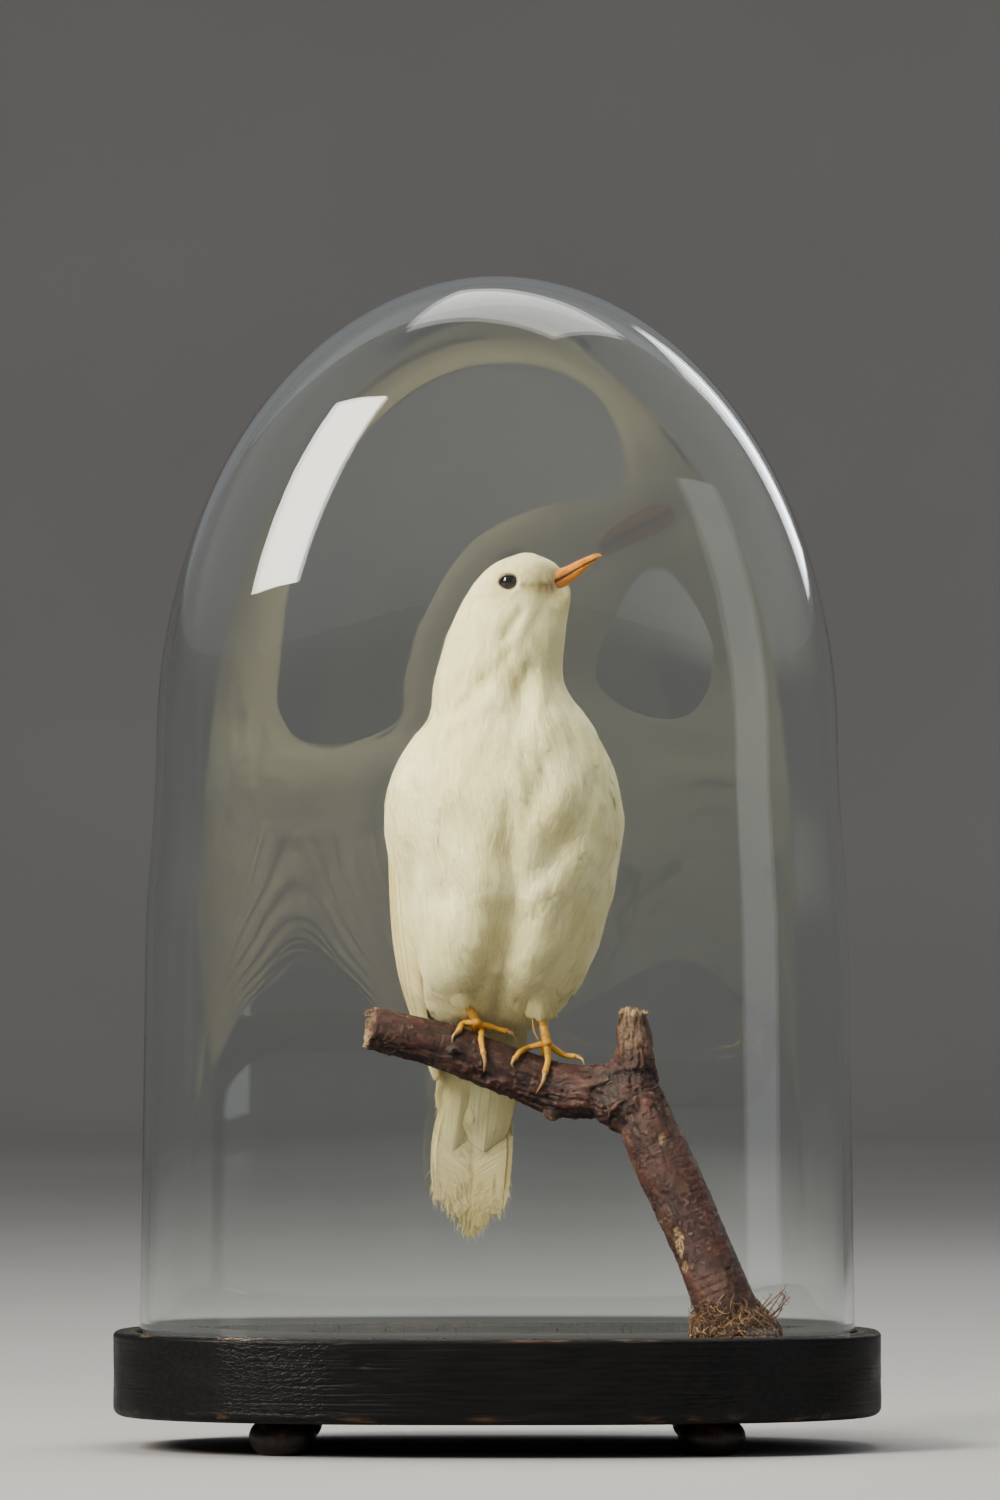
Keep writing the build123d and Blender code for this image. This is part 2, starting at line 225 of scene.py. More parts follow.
def resample(path, count):
    """Evenly spaced points on a rounded curve through given points."""
    path = np.asarray(path, float)
    if len(path) > 2:
        fine = []
        padded = np.vstack([2 * path[0] - path[1], path, 2 * path[-1] - path[-2]])
        for index in range(1, len(padded) - 2):
            before, start, end, after = padded[index - 1 : index + 3]
            for share in np.linspace(0, 1, 12, endpoint=False):
                curve = 2 * start + (end - before) * share
                curve = curve + (2 * before - 5 * start + 4 * end - after) * share**2
                fine.append(0.5 * (curve + (3 * start - before - 3 * end + after) * share**3))
        path = np.vstack([fine, path[-1]])
    steps = np.concatenate([[0], np.cumsum(np.linalg.norm(np.diff(path, axis=0), axis=1))])
    even = np.linspace(0, steps[-1], count)
    return np.stack([np.interp(even, steps, path[:, axis]) for axis in range(3)], 1)


def tube(batch, path, radii, sides=12, flatten=1.0, caps=True, up=(0, 0, 1), **values):
    """A round tube along a path, with its own radius at each point."""
    path = np.asarray(path, float)
    radii = np.broadcast_to(radii, len(path))
    _, across, out = frames_along(path, up)
    turn = full_turn(sides)
    wide, deep = np.cos(turn)[None, :, None], flatten * np.sin(turn)[None, :, None]
    ring = wide * across[:, None] + deep * out[:, None]
    points = (path[:, None] + ring * radii[:, None, None]).reshape(-1, 3)
    quads = grid_faces(len(path), sides, wrap=True)
    length = np.repeat(np.linspace(0, 1, len(path)), sides)
    uv = np.stack([np.tile(turn / (2 * math.pi), len(path)), length], 1)
    triangles = []
    if caps:
        points = np.vstack([points, path[0], path[-1]])
        uv = np.vstack([uv, [0.5, 0], [0.5, 1]])
        near, far = len(path) * sides, len(path) * sides + 1
        last = (len(path) - 1) * sides
        for index in range(sides):
            after = (index + 1) % sides
            triangles.append((near, after, index))
            triangles.append((far, last + index, last + after))
    batch.add(points, quads, triangles, uv, **values)


# ---- Materials -------------------------------------------------------------------------------


class Nodes:
    """A short way to write a material's nodes."""

    def __init__(self, name):
        self.material = bpy.data.materials.new(name)
        self.material.use_nodes = True
        self.tree = self.material.node_tree
        self.shader = self.tree.nodes["Principled BSDF"]

    def add(self, kind, **inputs):
        node = self.tree.nodes.new(kind)
        for key, value in inputs.items():
            self.set(node, key.replace("_", " "), value)
        return node

    def set(self, node, key, value):
        socket = node.inputs[int(key[1:])] if key[0] == "#" else node.inputs[key]
        if isinstance(value, bpy.types.NodeSocket):
            self.tree.links.new(value, socket)
        else:
            socket.default_value = value

    def finish(self, **inputs):
        for key, value in inputs.items():
            self.set(self.shader, key.replace("_", " "), value)
        return self.material

    def place(self, stretch=(1, 1, 1)):
        """The object's own coordinates, in metres, stretched."""
        where = self.add("ShaderNodeTexCoord").outputs["Object"]
        return self.add("ShaderNodeMapping", Vector=where, Scale=stretch).outputs[0]

    def noise(self, where, scale, detail, rough=0.55):
        node = self.add("ShaderNodeTexNoise", Vector=where, Scale=scale, Detail=detail, Roughness=rough)
        return node.outputs["Fac"]

    def cells(self, where, scale, feature="F1"):
        node = self.add("ShaderNodeTexVoronoi", Vector=where, Scale=scale)
        node.feature = feature
        return node.outputs["Distance"]

    def wave(self, where, scale, distortion):
        node = self.add("ShaderNodeTexWave", Vector=where, Scale=scale, Distortion=distortion)
        return node.outputs["Fac"]

    def ramp(self, value, *stops):
        node = self.add("ShaderNodeValToRGB", Fac=value)
        ramp = node.color_ramp
        while len(ramp.elements) < len(stops):
            ramp.elements.new(0.5)
        for element, (position, colour) in zip(ramp.elements, stops):
            element.position = position
            element.color = (*colour, 1)
        return node.outputs[0]

    def level(self, value, low, high, low_out=0.0, high_out=1.0):
        ends = dict(From_Min=low, From_Max=high, To_Min=low_out, To_Max=high_out)
        return self.add("ShaderNodeMapRange", Value=value, **ends).outputs[0]

    def times(self, first, second):
        return self.math("MULTIPLY", first, second)

    def plus(self, first, second):
        return self.math("ADD", first, second)

    def math(self, what, first, second=0.0):
        node = self.tree.nodes.new("ShaderNodeMath")
        node.operation = what
        self.set(node, "#0", first)
        self.set(node, "#1", second)
        return node.outputs[0]

    def mix(self, share, first, second):
        node = self.tree.nodes.new("ShaderNodeMix")
        node.data_type = "RGBA"
        colours = [c if isinstance(c, bpy.types.NodeSocket) else (*c, 1) for c in (first, second)]
        self.set(node, "#0", share)
        self.set(node, "#6", colours[0])
        self.set(node, "#7", colours[1])
        return node.outputs[2]

    def attribute(self, name):
        node = self.add("ShaderNodeAttribute")
        node.attribute_name = name
        return node.outputs["Fac"]

    def bump(self, height, strength, distance):
        return self.add("ShaderNodeBump", Height=height, Strength=strength, Distance=distance).outputs[0]


def feather_material(name, light, shade, contour, sheen, rough):
    """Feather vanes with fine barbs, stained where marked, with painted shade near each root and between the
    barbs; on contour feathers the barbs fan out.
    """
    m = Nodes(name)
    patches = m.noise(m.place(), 48, 3)
    fine = m.noise(m.place((1, 1, 0.3)), 800, 3)
    split = m.add("ShaderNodeSeparateXYZ", Vector=m.add("ShaderNodeTexCoord").outputs["UV"])
    across, along = split.outputs[0], split.outputs[1]
    offset = m.math("SUBTRACT", across, 0.5)
    centre = m.math("ABSOLUTE", offset)
    seed = m.times(m.attribute("seed"), 91.0)
    if contour:
        fan = m.math("DIVIDE", offset, m.plus(m.times(along, 0.6), 0.4))
        lines = m.add("ShaderNodeCombineXYZ", X=m.times(fan, 13.0), Y=along, Z=seed).outputs[0]
    else:
        barb = m.math("SUBTRACT", along, m.times(centre, 0.09))
        barb = m.times(barb, 74.0)
        lines = m.add("ShaderNodeCombineXYZ", X=barb, Y=m.times(across, 1.6), Z=seed).outputs[0]
    barbs = m.noise(lines, 1.0, 3, 0.6)
    # Painted shade: deep is a darker tone painted on each vane near its root, where the feathers over it
    # would shade it, and in the gaps between the barbs.
    deep = m.mix(0.5, shade, (0.5, 0.4, 0.25))
    base = m.mix(m.level(patches, 0.35, 0.68), shade, light)
    base = m.mix(m.level(along, 0.0, 0.6, 0.3, 0.0), base, deep)
    base = m.mix(m.level(barbs, 0.3, 0.54, 0.65, 0.0), base, deep)
    base = m.mix(m.level(barbs, 0.55, 0.75, 0.0, 0.4), base, (0.9, 0.86, 0.68))
    if not contour:
        quill = m.level(centre, 0.012, 0.03, 0.75, 0.0)
        base = m.mix(quill, base, (0.56, 0.42, 0.22))
    tone = m.times(m.attribute("stain"), m.level(fine, 0.3, 0.6, 0.75, 1.0))
    base = m.mix(tone, base, (0.38, 0.25, 0.08))
    # The dark values are painted shade in the body's creases, plus darker lores and eye rims.
    base = m.mix(m.attribute("dark"), base, (0.09, 0.065, 0.04))
    height = m.plus(m.times(barbs, 1.2), m.times(fine, 0.4))
    normal = m.bump(height, 0.5, 0.0004)
    rough_map = m.level(fine, 0.3, 0.7, rough - 0.08, rough + 0.12)
    return m.finish(
        Base_Color=base, Roughness=rough_map, Normal=normal, Sheen_Weight=sheen, Sheen_Roughness=0.4,
        Sheen_Tint=(1.0, 0.95, 0.82, 1), Specular_IOR_Level=0.3,
    )


def skin_material():
    """The downy ground between the feathers."""
    m = Nodes("plumage_down")
    streaks = m.noise(m.place((1, 1, 0.2)), 900, 4)
    patches = m.noise(m.place(), 60, 3)
    base = m.mix(m.level(patches, 0.35, 0.65), (0.7, 0.62, 0.36), (0.8, 0.73, 0.45))
    base = m.mix(m.level(streaks, 0.4, 0.7, 0.0, 0.35), base, (0.6, 0.5, 0.33))
    base = m.mix(m.attribute("stain"), base, (0.36, 0.2, 0.06))
    # The dark values are painted shade in the body's creases, plus darker lores.
    base = m.mix(m.attribute("dark"), base, (0.09, 0.065, 0.04))
    rough = m.level(streaks, 0.3, 0.7, 0.6, 0.85)
    return m.finish(Base_Color=base, Roughness=rough, Normal=m.bump(streaks, 0.6, 0.0005), Sheen_Weight=0.3)


# ---- The bird's body surface -----------------------------------------------------------------

# Height, left edge, right edge, middle depth and half depth of the bird's body, in millimetres.
body_rings = np.array([
    (149.0, -16.0, 10.0, 12.0, 7.0),
    (152.0, -22.5, 16.0, 11.0, 11.0),
    (156.0, -25.5, 22.0, 9.0, 16.0),
    (162.0, -27.5, 27.0, 6.5, 22.0),
    (170.0, -29.0, 31.5, 4.0, 28.0),
    (180.0, -30.8, 36.0, 2.0, 32.5),
    (190.0, -32.3, 39.0, 1.0, 34.5),
    (200.0, -33.6, 41.3, 0.0, 35.5),
    (212.0, -35.3, 43.0, -1.0, 36.0),
    (224.0, -36.6, 43.8, -1.5, 36.0),
    (232.0, -36.6, 43.4, -1.5, 35.0),
    (240.0, -34.8, 42.0, -1.2, 33.5),
    (248.0, -32.0, 39.4, -0.8, 31.0),
    (254.0, -28.8, 36.6, -0.4, 28.5),
    (260.0, -25.2, 33.6, 0.0, 26.0),
    (266.0, -23.3, 28.6, 0.4, 23.2),
    (272.0, -22.6, 24.0, 0.5, 20.6),
    (278.0, -21.9, 22.2, 0.3, 18.8),
    (284.0, -20.5, 22.8, 0.0, 17.4),
    (290.0, -18.7, 24.2, -0.3, 16.4),
    (296.0, -16.3, 25.0, -0.6, 15.4),
    (302.0, -13.5, 26.0, -1.0, 14.3),
    (306.0, -11.2, 26.6, -1.0, 13.5),
    (309.0, -9.4, 26.6, -1.0, 12.8),
    (312.0, -7.3, 25.0, -1.0, 11.9),
    (315.0, -4.7, 23.8, -1.0, 10.4),
    (317.5, -2.1, 22.0, -1.0, 8.6),
    (319.6, 1.4, 19.2, -1.0, 6.4),
    (321.0, 5.0, 16.0, -1.0, 4.0),
    (321.8, 9.0, 12.6, -1.0, 1.4),
])
# The middle of the bill's root, and the eye's middle in x and z.
bill_base = np.array([22.0, -1.0, 311.5])
eye_place = (4.0, 311.0)

# Furrows (negative) and swellings (positive) on the front: route in x and z, height and width.
body_folds = [
    ([(8.2, 300.2), (5.4, 296.0), (2.6, 291.0)], -1.1, 2.1),
    ([(12.0, 302.0), (9.0, 296.0), (6.5, 290.0)], 0.8, 3.1),
    ([(-21.0, 262.0), (-15.0, 266.0), (-10.0, 269.6), (-3.0, 276.0), (3.0, 284.0)], -0.8, 2.0),
    ([(-20.0, 257.0), (-9.0, 264.0), (-1.0, 271.0)], 1.3, 4.1),
    ([(-16.0, 275.0), (-8.0, 281.0)], 0.8, 6.0),
    ([(10.5, 279.0), (7.5, 271.5), (10.0, 265.0)], -1.5, 2.9),
    ([(15.5, 272.0), (13.5, 265.0)], 1.0, 3.1),
    ([(5.0, 262.0), (8.0, 252.0), (14.0, 246.0)], -1.2, 4.2),
    ([(19.5, 246.0), (15.5, 237.0), (8.5, 225.0), (4.5, 212.5)], -1.7, 5.6),
    ([(26.0, 238.0), (19.0, 227.0), (13.5, 215.0)], 1.5, 7.5),
    ([(26.0, 222.0), (19.0, 210.0), (10.0, 203.0)], -1.5, 3.4),
    ([(27.0, 211.0), (20.0, 200.0), (12.0, 194.0)], 1.4, 6.4),
    ([(4.5, 212.5), (8.0, 205.0), (6.5, 194.0), (4.5, 184.0)], -1.7, 6.0),
    ([(-3.0, 232.0), (-4.0, 214.0), (-6.0, 200.0)], 1.2, 7.2),
    ([(-14.0, 228.0), (-20.0, 214.0), (-20.0, 200.0)], -1.0, 4.8),
    ([(-16.0, 200.0), (-8.0, 192.0), (0.0, 190.0)], -1.0, 4.1),
    ([(5.0, 190.0), (3.5, 180.0), (1.0, 170.0), (-1.5, 157.0)], -4.6, 6.4),
    ([(-1.0, 184.0), (-5.0, 172.0), (-8.5, 163.0)], -1.9, 3.1),
    ([(-17.0, 184.0), (-17.0, 170.0)], 2.2, 9.0),
    ([(17.0, 182.0), (14.0, 168.0)], 2.3, 9.0),
    ([(29.0, 190.0), (24.0, 172.0)], -1.5, 3.6),
    ([(-29.5, 214.0), (-29.5, 200.0), (-27.5, 178.0)], -1.0, 2.0),
    ([(33.0, 238.0), (30.0, 220.0)], -1.2, 4.2),
    ([(-14.0, 246.0), (-17.0, 232.0)], 1.2, 9.6),
]

# Stained places on the feathers: x, z, radius and strength.
stains = [
    (4.0, 311.0, 5.2, 0.5), (10.5, 309.6, 3.0, 0.5), (15.0, 309.4, 2.6, 0.5), (19.0, 309.4, 2.6, 0.6),
    (22.8, 315.6, 3.0, 0.55), (16.5, 313.5, 6.0, 0.34), (-1.5, 308.0, 4.0, 0.4), (8.0, 318.5, 7.0, 0.26),
    (-12.5, 267.4, 1.7, 0.7), (-15.5, 265.4, 1.4, 0.6), (-9.6, 269.6, 1.6, 0.6), (-1.0, 279.0, 7.0, 0.22),
    (2.0, 290.0, 6.0, 0.18), (-32.0, 211.0, 2.2, 0.5), (-31.0, 203.0, 1.8, 0.8), (-5.0, 172.0, 5.0, 0.4),
    (-9.0, 163.0, 4.0, 0.5), (30.0, 166.0, 5.0, 0.35), (20.0, 156.0, 4.0, 0.5), (-25.0, 160.0, 4.0, 0.3),
    (13.0, 240.0, 6.0, 0.28), (-26.0, 196.0, 2.2, 0.35), (-12.0, 186.0, 8.0, 0.22), (24.0, 304.0, 4.0, 0.28),
    (6.0, 258.0, 9.0, 0.14), (2.0, 178.0, 4.0, 0.3), (-20.0, 238.0, 10.0, 0.1), (24.0, 196.0, 9.0, 0.14),
]


def distance_to_route(x, z, route):
    """How far points lie from a route in the front view."""
    nearest = np.full(np.shape(x), 1e9)
    for (x0, z0), (x1, z1) in zip(route, route[1:]):
        run_x, run_z = x1 - x0, z1 - z0
        share = ((x - x0) * run_x + (z - z0) * run_z) / (run_x**2 + run_z**2)
        share = np.clip(share, 0, 1)
        nearest = np.minimum(nearest, np.hypot(x - x0 - share * run_x, z - z0 - share * run_z))
    return nearest


def body_points(height, turn):
    """Points of the bird's body; turn 0 is +X, -90 degrees faces the viewer."""
    keys = body_rings[:, 0]
    left, right, middle, half = (smooth_curve(height, keys, body_rings[:, i], 1) for i in range(1, 5))
    turn = np.asarray(turn, float)
    cosine, sine = np.cos(turn), np.sin(turn)
    across = (right - left) / 2
    head = smooth_step(height, 292, 304)
    narrow = 1 - head * 0.42 * np.maximum(cosine, 0) ** 1.4
    x = (left + right) / 2 + across * cosine
    pinch = 1 - 0.42 * smooth_step(x, 12, 24) * smooth_step(height, 301, 307)
    pinch = pinch - 0.3 * smooth_step(x, 17.5, 22.5) * smooth_step(height, 305, 309)
    y = middle + half * sine * narrow * pinch
    return np.stack([x, y, height + 0 * x], -1)


def eye_distance(points):
    """How far points lie from the eye's middle in the front view."""
    return np.hypot(points[..., 0] - eye_place[0], points[..., 2] - eye_place[1])


def fold_lift(points):
    """How far the furrows and swellings move the surface out."""
    x, y, z = np.moveaxis(points, -1, 0)
    facing = smooth_step(-y, -2, 8)
    lift = 0
    for route, height, width in body_folds:
        lift = lift + height * bell(distance_to_route(x, z, route), width)
    eye_gap = eye_distance(points)
    socket = -2.4 * np.exp(-((eye_gap / 3.0) ** 4)) + 0.5 * bell(eye_gap - 4.3, 1.3)
    soft = fractal(points, (9, 9, 14), 5, 2) + fractal(points, (4, 4, 9), 7, 2) * 0.35
    soft = soft + fractal(points, (2.0, 2.0, 6), 9, 2) * 0.22
    size = smooth_step(z, 310, 270) * 0.9 + 0.1
    return lift * facing + soft * size + socket


def marks(points):
    """The stain and dark values at points of the bird. The dark values are painted shade in the cheek crease
    and the belly furrow, a dark line from the eye to the bill, and darker lores.
    """
    x, y, z = np.moveaxis(points, -1, 0)
    facing = smooth_step(-y, 0, 4)
    stain = 0
    for spot_x, spot_z, radius, strength in stains:
        stain = stain + strength * np.exp(-(((x - spot_x) ** 2 + (z - spot_z) ** 2) / radius**2))
    broken = 0.75 + 0.5 * fractal(points, (1.4, 1.4, 3.0), 21, 2)
    # Painted shade: darker along the cheek crease and down the belly furrow, where these folds are shaded.
    dark = 0.35 * bell(distance_to_route(x, z, body_folds[0][0]), 1.0)
    dark = dark + 0.3 * bell(distance_to_route(x, z, [(4, 183), (2, 172), (-1, 157)]), 2.4)
    dark = dark + 0.28 * bell(distance_to_route(x, z, [(8.5, 309.8), (18.0, 310.2)]), 0.6)
    stipple = smooth_step(noise(points, (0.6, 0.6, 0.5), 27), 0.35, 0.6)
    lores = distance_to_route(x, z, [(9.0, 310.0), (14.0, 309.6), (20.5, 310.6), (23.5, 314.8)])
    lores = bell(lores, 1.7)
    dark = dark + (0.12 + 0.35 * stipple) * lores
    stain = stain + 0.12 * lores
    dirt = 0.1 * smooth_step(z, 175, 155)
    return np.clip(stain * broken * facing + dirt, 0, 1), np.clip(dark * facing, 0, 1)


class Surface:
    """The body's surface, with its normals evened out so that feathers lie in smooth sheets."""

    def __init__(self, tree, points, quads, rows, columns):
        self.tree = tree
        grid = points[: rows * columns].reshape(rows, columns, 3)
        down = np.gradient(grid, axis=0)
        around = np.roll(grid, -1, axis=1) - np.roll(grid, 1, axis=1)
        normals = unit(np.cross(around, down))
        for _ in range(3):
            for shift in (1, 2, 4):
                normals = normals + np.roll(normals, shift, axis=1) + np.roll(normals, -shift, axis=1)
                padded = np.pad(normals, ((shift, shift), (0, 0), (0, 0)), mode="edge")
                normals = unit(normals + padded[2 * shift :] + padded[: -2 * shift])
        self.normals = unit(normals.reshape(-1, 3)[quads].mean(1))

    def nearest(self, points):
        """The nearest places on the surface, and the even normals there."""
        found = [self.tree.find_nearest(Vector(point)) for point in points]
        places = np.array([hit[0] for hit in found])
        return places, self.normals[[hit[2] for hit in found]]


def bird_skin(material):
    """The whole downy surface of head, neck and body, closed at both ends."""
    rows, columns = 300, 260
    low, high = body_rings[0, 0], body_rings[-1, 0]
    share = np.linspace(0, 1, rows)
    ends = (1 - np.cos(share * math.pi)) / 2
    height = low + (high - low) * (0.55 * share + 0.45 * ends)
    turn = full_turn(columns)
    height, turn = np.meshgrid(height, turn, indexing="ij")
    flat = body_points(height, turn)
    middle = flat.mean(axis=1, keepdims=True)
    out = flat - middle
    out[..., 2] = 0
    points = flat + unit(out) * fold_lift(flat)[..., None]
    points = points.reshape(-1, 3)
    points = np.vstack([points, points[:columns].mean(0), points[-columns:].mean(0)])
    quads = grid_faces(rows, columns, wrap=True)
    stain, dark = marks(points)
    tones = {"stain": stain, "dark": dark}
    faces = [quads, end_fans(rows, columns)]
    piece = add_mesh("plumage_skin", points, faces, material, None, tones, slot="body_feathers")
    tree = BVHTree.FromPolygons([tuple(p) for p in points], [tuple(q) for q in quads.tolist()])
    return piece, points, quads, Surface(tree, points, quads, rows, columns)


def flow(points):
    """Which way feather tips point on the bird."""
    x, y, z = points.T
    away = unit(points - bill_base)
    head = smooth_step(z, 282, 300)[:, None]
    lateral = -(x - 3) / 70 * smooth_step(z, 262, 235) - 0.12 * smooth_step(z, 255, 225)
    back = 0.35 * smooth_step(z, 200, 160) * smooth_step(y, -10, 10)
    down = np.stack([lateral, back, np.full(len(z), -1.0)], 1)
    field = away * head + np.array([0, 0, -0.45]) * head + down * (1 - head)
    swirl = np.stack([noise(points, (11, 11, 17), seed) for seed in (31, 32, 33)], 1)
    fine = np.stack([noise(points, (4, 4, 7), seed) for seed in (41, 42, 43)], 1)
    amount = (0.1 + 0.24 * smooth_step(z, 290, 235))[:, None]
    return unit(field + swirl * amount + fine * amount * 0.7)


def scatter(points, quads, spacing, tries):
    """Evenly spread places on the surface; spacing gives the gap wanted at each place."""
    corner = points[quads]
    area = np.linalg.norm(np.cross(corner[:, 2] - corner[:, 0], corner[:, 3] - corner[:, 1]), axis=1)
    centre = corner.mean(1)
    gap = spacing(centre)
    odds = area / gap**2
    picks = rng.choice(len(quads), size=tries, p=odds / odds.sum())
    u, v = rng.random((2, tries, 1))
    chosen = corner[picks]
    spots = (
        chosen[:, 0] * (1 - u) * (1 - v)
        + chosen[:, 1] * u * (1 - v)
        + chosen[:, 2] * u * v
        + chosen[:, 3] * (1 - u) * v
    )
    gaps = gap[picks]
    cell = gaps.max()
    around = [(i, j, k) for i in (-1, 0, 1) for j in (-1, 0, 1) for k in (-1, 0, 1)]
    grid = {}
    kept = []
    for index, (spot, reach) in enumerate(zip(spots.tolist(), gaps.tolist())):
        home = tuple(int(value // cell) for value in spot)
        near = [grid.get((home[0] + i, home[1] + j, home[2] + k), ()) for i, j, k in around]
        if all(math.dist(spot, other) >= reach for group in near for other in group):
            grid.setdefault(home, []).append(spot)
            kept.append(index)
    return spots[kept]


def follow(starts, lengths, surface, steps):
    """Routes on the surface from each start along the flow, with the surface's normals."""
    here, normal = surface.nearest(starts)
    routes, normals = [here], [normal]
    for _ in range(steps):
        ahead = flow(here)
        ahead = unit(ahead - normal * (ahead * normal).sum(1, keepdims=True))
        here, normal = surface.nearest(here + ahead * (lengths / steps)[:, None])
        routes.append(here)
        normals.append(normal)
    return np.stack(routes, 1), np.stack(normals, 1)


def contour_feathers(
    batch, routes, normals, widths, columns, lift, softness, loose=1.0, drape=None, offset=None
):
    """Small body feathers: a short vane whose outer part is parted into soft tapering barbs."""
    count, points_along, _ = routes.shape
    along = unit(np.gradient(routes, axis=1))
    side = unit(np.cross(along, normals))
    spread = np.linspace(-1, 1, columns)
    pick = np.arange(count)
    places, outward, heights, uv_rows = [], [], [], []
    reach = 0.66
    vane_rows = 3

    def at(share):
        """Centre, side and normal of each feather at a share of its length; share may be an array."""
        place = np.clip(share, 0, 1) * (points_along - 1)
        low = np.minimum(place.astype(int), points_along - 2)
        part = (place - low)[:, None]
        return [v[pick, low] * (1 - part) + v[pick, low + 1] * part for v in (routes, side, normals)]

    def width_at(share):
        return widths * (0.3 + 0.7 * np.sin(np.clip(share / 0.62, 0, 1) * math.pi / 2))

    def keep(centre, across, normal, offset_side, height, uv):
        places.append(centre + across * offset_side[:, None])
        outward.append(normal)
        heights.append(height)
        uv_rows.append(uv)

    for row in range(vane_rows):
        share = reach * row / (vane_rows - 1)
        half = width_at(share) / 2
        for t in spread:
            height = 0.05 + lift * share**1.5 + 0.04 * widths * (1 - t * t)
            keep(*at(np.full(count, share)), half * t, height, (t / 2 + 0.5, share))
    edge = (vane_rows - 1) * columns
    index = columns * vane_rows
    barb_faces, barb_tips = [], []
    full = width_at(0.7) / 2
    length = np.linalg.norm(routes[:, -1] - routes[:, 0], axis=1)
    for gap in range(columns - 1):
        t = (spread[gap] + spread[gap + 1]) / 2
        ragged = rng.normal(0, 1, count)
        turn = rng.normal(0, 0.16, count) * softness
        rise = rng.random(count) * softness
        end_share = np.clip(1.02 - 0.2 * t * t + 0.05 * ragged, 0.82, 1.2)
        middle_share = end_share - 0.1
        for edge_side in (-1, 1):
            offset_side = t * full * (0.93 + 0.03 * softness) + turn * widths * 0.2
            offset_side = offset_side + edge_side * widths / (columns - 1) * 0.5
            height = 0.05 + lift * middle_share**1.5 + 0.06 * rise + 0.02 * widths
            keep(*at(middle_share), offset_side, height, (t / 2 + 0.5, 0.83))
        centre, across, normal = at(end_share)
        centre = centre + along[:, -1] * (np.maximum(end_share - 1, 0) * length)[:, None]
        offset_side = t * full * (0.83 + 0.04 * softness) + turn * widths * 0.35
        height = 0.3 * lift * end_share**1.5 + 0.1 * rise * loose - 0.06
        keep(centre, across, normal, offset_side, height, (t / 2 + 0.5, 1.0))
        barb_faces.append((edge + gap, edge + gap + 1, index + 1, index))
        barb_tips.append((index, index + 1, index + 2))
        index += 3
    flat = np.stack(places, 1).reshape(-1, 3)
    out = np.stack(outward, 1).reshape(-1, 3)
    height = np.stack(heights, 1).reshape(-1)
    if drape is not None:
        flat, out = drape.nearest(flat)
    if offset is not None:
        height = height + offset(flat)
    flat = flat + out * height[:, None]
    quads = np.concatenate([grid_faces(vane_rows, columns), np.array(barb_faces)])
    starts = (pick * index)[:, None, None]
    all_quads = (quads[None] + starts).reshape(-1, 4)
    all_triangles = (np.array(barb_tips)[None] + starts).reshape(-1, 3)
    uv = np.tile(np.array(uv_rows), (count, 1))
    stain, dark = marks(flat)
    tone = np.repeat(rng.random(count) * 0.07, index)
    own = np.repeat(rng.random(count), index)
    batch.add(flat, all_quads, all_triangles, uv, stain=np.clip(stain + tone, 0, 1), dark=dark, seed=own)


def clear_of_legs(points):
    """How far down a feather may run before it would cover a shank."""
    x, y, z = points.T
    room = np.full(len(points), 99.0)
    for knee_x, knee_z in ((-11.4, 160.5), (15.9, 153.5)):
        beside = np.abs(x - knee_x)
        front = y < 2
        room = np.where(front & (beside < 3.4), np.minimum(room, z - knee_z + beside * 0.8), room)
    return room


def dress_body(points, quads, surface, material):
    """Head, neck and body feathers, in zones from the crown down."""

    def feather_length(place):
        z = place[:, 2]
        heights = [150, 175, 235, 262, 276, 290, 300, 322]
        length = np.interp(z, heights, [15, 16, 14, 10.5, 8.0, 6.4, 5.2, 4.6])
        near = np.linalg.norm(place - bill_base, axis=1)
        return length * (0.45 + 0.55 * smooth_step(near, 2, 14))

    def spacing(place):
        return 0.14 * feather_length(place) + 0.36

    spots = scatter(points, quads, spacing, tries=60000)
    bill_low = 307.3 + 0.64 * (spots[:, 0] - 20.6)
    on_bill = (spots[:, 0] > 20.8) & (spots[:, 2] > bill_low) & (spots[:, 2] < bill_low + 7.6)
    spots = spots[(eye_distance(spots) > 3.3) & ~on_bill & ~under_wings(spots)]
    zones = [
        ("feathers_head", 296, 330, 6, 0.3),
        ("feathers_neck", 268, 296, 7, 0.4),
        ("feathers_breast", 226, 268, 10, 0.42),
        ("feathers_belly", 186, 226, 11, 0.55),
        ("feathers_thighs", 140, 186, 11, 0.6),
    ]
    for name, low, high, columns, softness in zones:
        inside = spots[(spots[:, 2] >= low) & (spots[:, 2] < high)]
        lengths = feather_length(inside) * rng.uniform(0.82, 1.2, len(inside))
        room = clear_of_legs(inside)
        from_eye = inside - (eye_place[0], 0, eye_place[1])
        over_eye = (from_eye[:, 0] > -2.5) & (np.abs(from_eye[:, 2] - 1.0) < 3.8)
        lengths = np.where(over_eye, np.clip(eye_distance(inside) - 2.7, 0.9, lengths), lengths)
        lengths = np.minimum(lengths, room)
        inside, lengths = inside[room > 3.0], lengths[room > 3.0]
        routes, normals = follow(inside, lengths, surface, 4)
        widths = lengths * rng.uniform(0.46, 0.6, len(inside))
        lift = 0.03 * lengths * rng.uniform(0.4, 1.6, len(inside)) * softness
        loose = np.where(rng.random(len(inside)) > 0.96, 2.5, 0.3)
        batch = Batch()
        contour_feathers(batch, routes, normals, widths, columns, lift, softness, loose, drape=surface)
        batch.build(name, material, slot="body_feathers")


